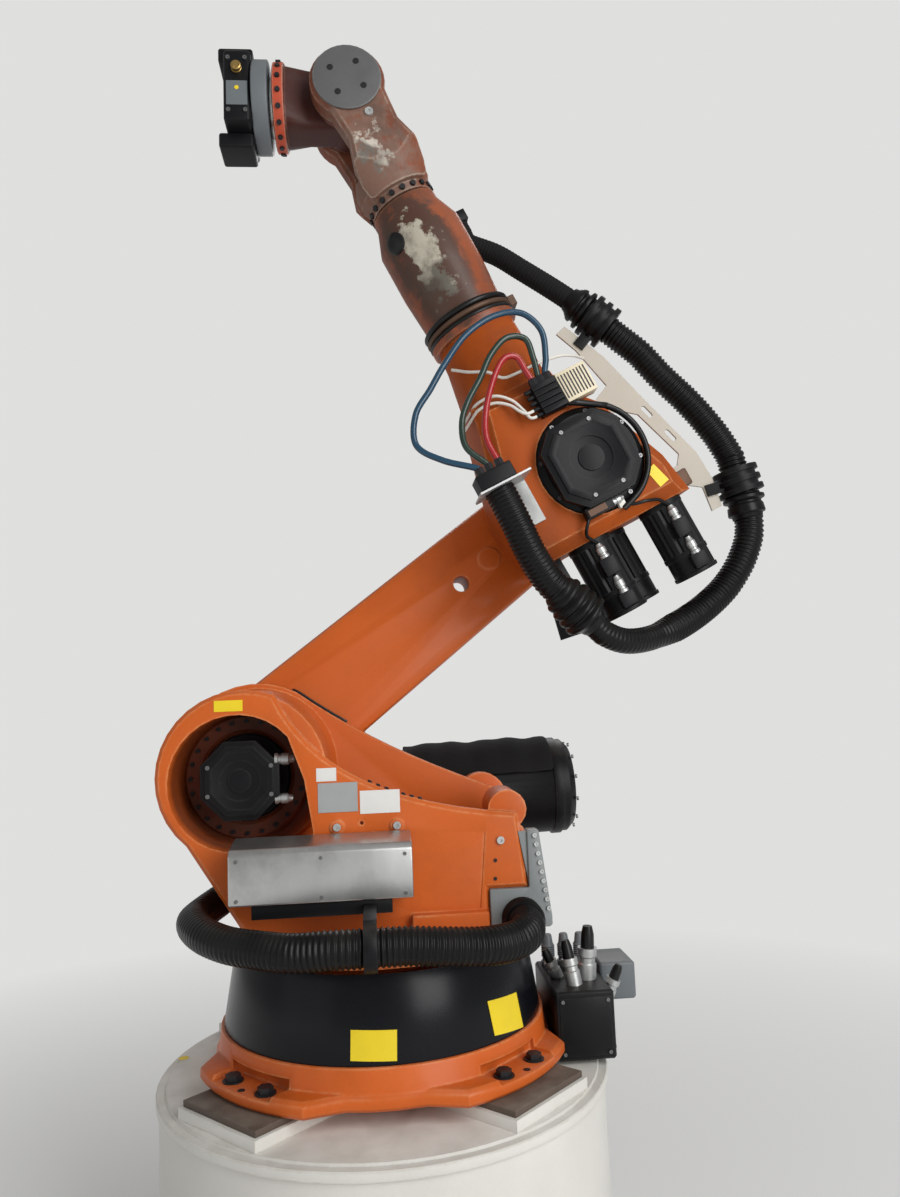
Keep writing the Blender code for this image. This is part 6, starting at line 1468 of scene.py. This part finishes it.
class WRIST_OT_arm(bpy.types.Operator):
    """Makes the wrist housing and the hand"""
    bl_idname = "robot_arm.wrist"
    bl_label = "Wrist and hand"

    def execute(self, context):
        # The lobes' corners are cut off where they run into the round root
        around_root = turned([(0.300, -0.345), (0.300, -0.120), (0.215, -0.150), (0.180, -0.200), (0.150, -0.250),
                              (0.128, -0.290), (0.117, -0.320), (0.1155, -0.345)], "X")
        refined("wrist_housing", "worn_paint", 0.005, 3, "wrist_casting", removed=[moved(around_root, WRIST_ARM)])
        refined("wrist_cover_left", "cover_grey", 0.002)
        refined("wrist_cover_right", "cover_grey", 0.002)
        fasteners("wrist_root_bolts", ring_spots(0.0981, 18, "X", -0.3357, outward=True), "black_steel", "wrist",
                  0.0085, 0.006, sides=6, recess=0.0001)
        for sign, side in ((1, "left"), (-1, "right")):
            spots = ring_spots(0.054, 4, "Y", sign * 0.1513, radians(56), sign)
            fasteners(f"wrist_cover_screws_{side}", spots, "black_steel", "wrist", 0.0085, 0.001, recess=0.005)
        refined("hand", "hand_paint", 0.004, 3, "hand_casting")
        band = turned([(0.1190, 0.184), (0.1213, 0.184), (0.1219, 0.186), (0.1219, 0.212), (0.1213, 0.214),
                       (0.1190, 0.214)], "X")
        piece_of("hand_flange_band", band, "hand_flange_paint", "hand")
        fasteners("hand_flange_bolts", ring_spots(0.1219, 18, "X", 0.199, pi / 18, outward=True), "black_steel",
                  "hand", 0.0075, 0.005, sides=6, recess=0.0001)
        plug = hits("wrist_housing", [WRIST_ARM @ Vector((-0.118, 0.30, 0.008))], FAR)
        fasteners("wrist_plug", plug, "galvanised", "wrist", 0.012, 0.004, GROUND)
        return {"FINISHED"}


class CHANGER_OT_arm(bpy.types.Operator):
    """Makes the mounting flange and the tool changer"""
    bl_idname = "robot_arm.changer"
    bl_label = "Tool changer"

    def execute(self, context):
        refined("mounting_flange", "bright_steel", 0.001, name="tool_flange")
        refined("changer_adapter_plate", "grey_coating", 0.002, name="adapter_plate")
        refined("changer_body", "black_coating", 0.004)
        refined("changer_module_top", "black_coating", name="changer_top")
        refined("changer_module_bottom", "black_coating", name="changer_bottom")
        for sign, side in ((1, "near"), (-1, "far")):
            spots = grid_spots((0.290, 0.338), (sign * 0.1103,), (-0.08, 0.08), (0, sign, 0))
            fasteners(f"changer_screws_{side}", spots, "screw_steel", "flange", 0.006, 0.004)
            low, high = sorted((sign * 0.1103, sign * 0.1125))
            piece_of(f"changer_panel_{side}", box((0.284, low, -0.064), (0.344, high, 0.010), 0.001),
                     "grey_coating", "flange")
        connector("changer_fitting", (0.314, 0.1103, 0.048), "Y", "flange", 0.013, 0.022, "brass")
        piece_of("changer_dot", disc(0.006, 0.1126, 0.1132, "Y", (0.314, 0, -0.012), 24), "yellow_plate",
                 "flange")
        return {"FINISHED"}


OPERATORS = (STAGE_OT_arm, FINISHES_OT_arm, HOSES_OT_arm, PEDESTAL_OT_arm, BASE_OT_arm, COLUMN_OT_arm,
             COUNTERBALANCE_OT_arm, LINK_OT_arm, ELBOW_OT_arm, WIRING_OT_arm, FITTINGS_OT_arm, PACK_OT_arm,
             WRIST_OT_arm, CHANGER_OT_arm)
SETTINGS = (ArmColours, ArmSizes, StageSettings)


class VIEW3D_PT_arm(bpy.types.Panel):
    """Lists the operators in the order they run"""
    bl_label = "Robot arm"
    bl_idname = "VIEW3D_PT_robot_arm"
    bl_space_type = "VIEW_3D"
    bl_region_type = "UI"
    bl_category = "Robot arm"

    def draw(self, context):
        for operator in OPERATORS:
            self.layout.operator(operator.bl_idname)


def register():
    for part in SETTINGS + OPERATORS + (VIEW3D_PT_arm,):
        bpy.utils.register_class(part)
    bpy.types.Scene.arm_colours = PointerProperty(type=ArmColours)
    bpy.types.Scene.arm_sizes = PointerProperty(type=ArmSizes)
    bpy.types.Scene.arm_stage = PointerProperty(type=StageSettings)


def unregister():
    del bpy.types.Scene.arm_stage, bpy.types.Scene.arm_sizes, bpy.types.Scene.arm_colours
    for part in reversed(SETTINGS + OPERATORS + (VIEW3D_PT_arm,)):
        bpy.utils.unregister_class(part)


def main():
    register()
    for operator in OPERATORS:
        group_name, call = operator.bl_idname.split(".")
        getattr(getattr(bpy.ops, group_name), call)()


if __name__ == "__main__":
    main()
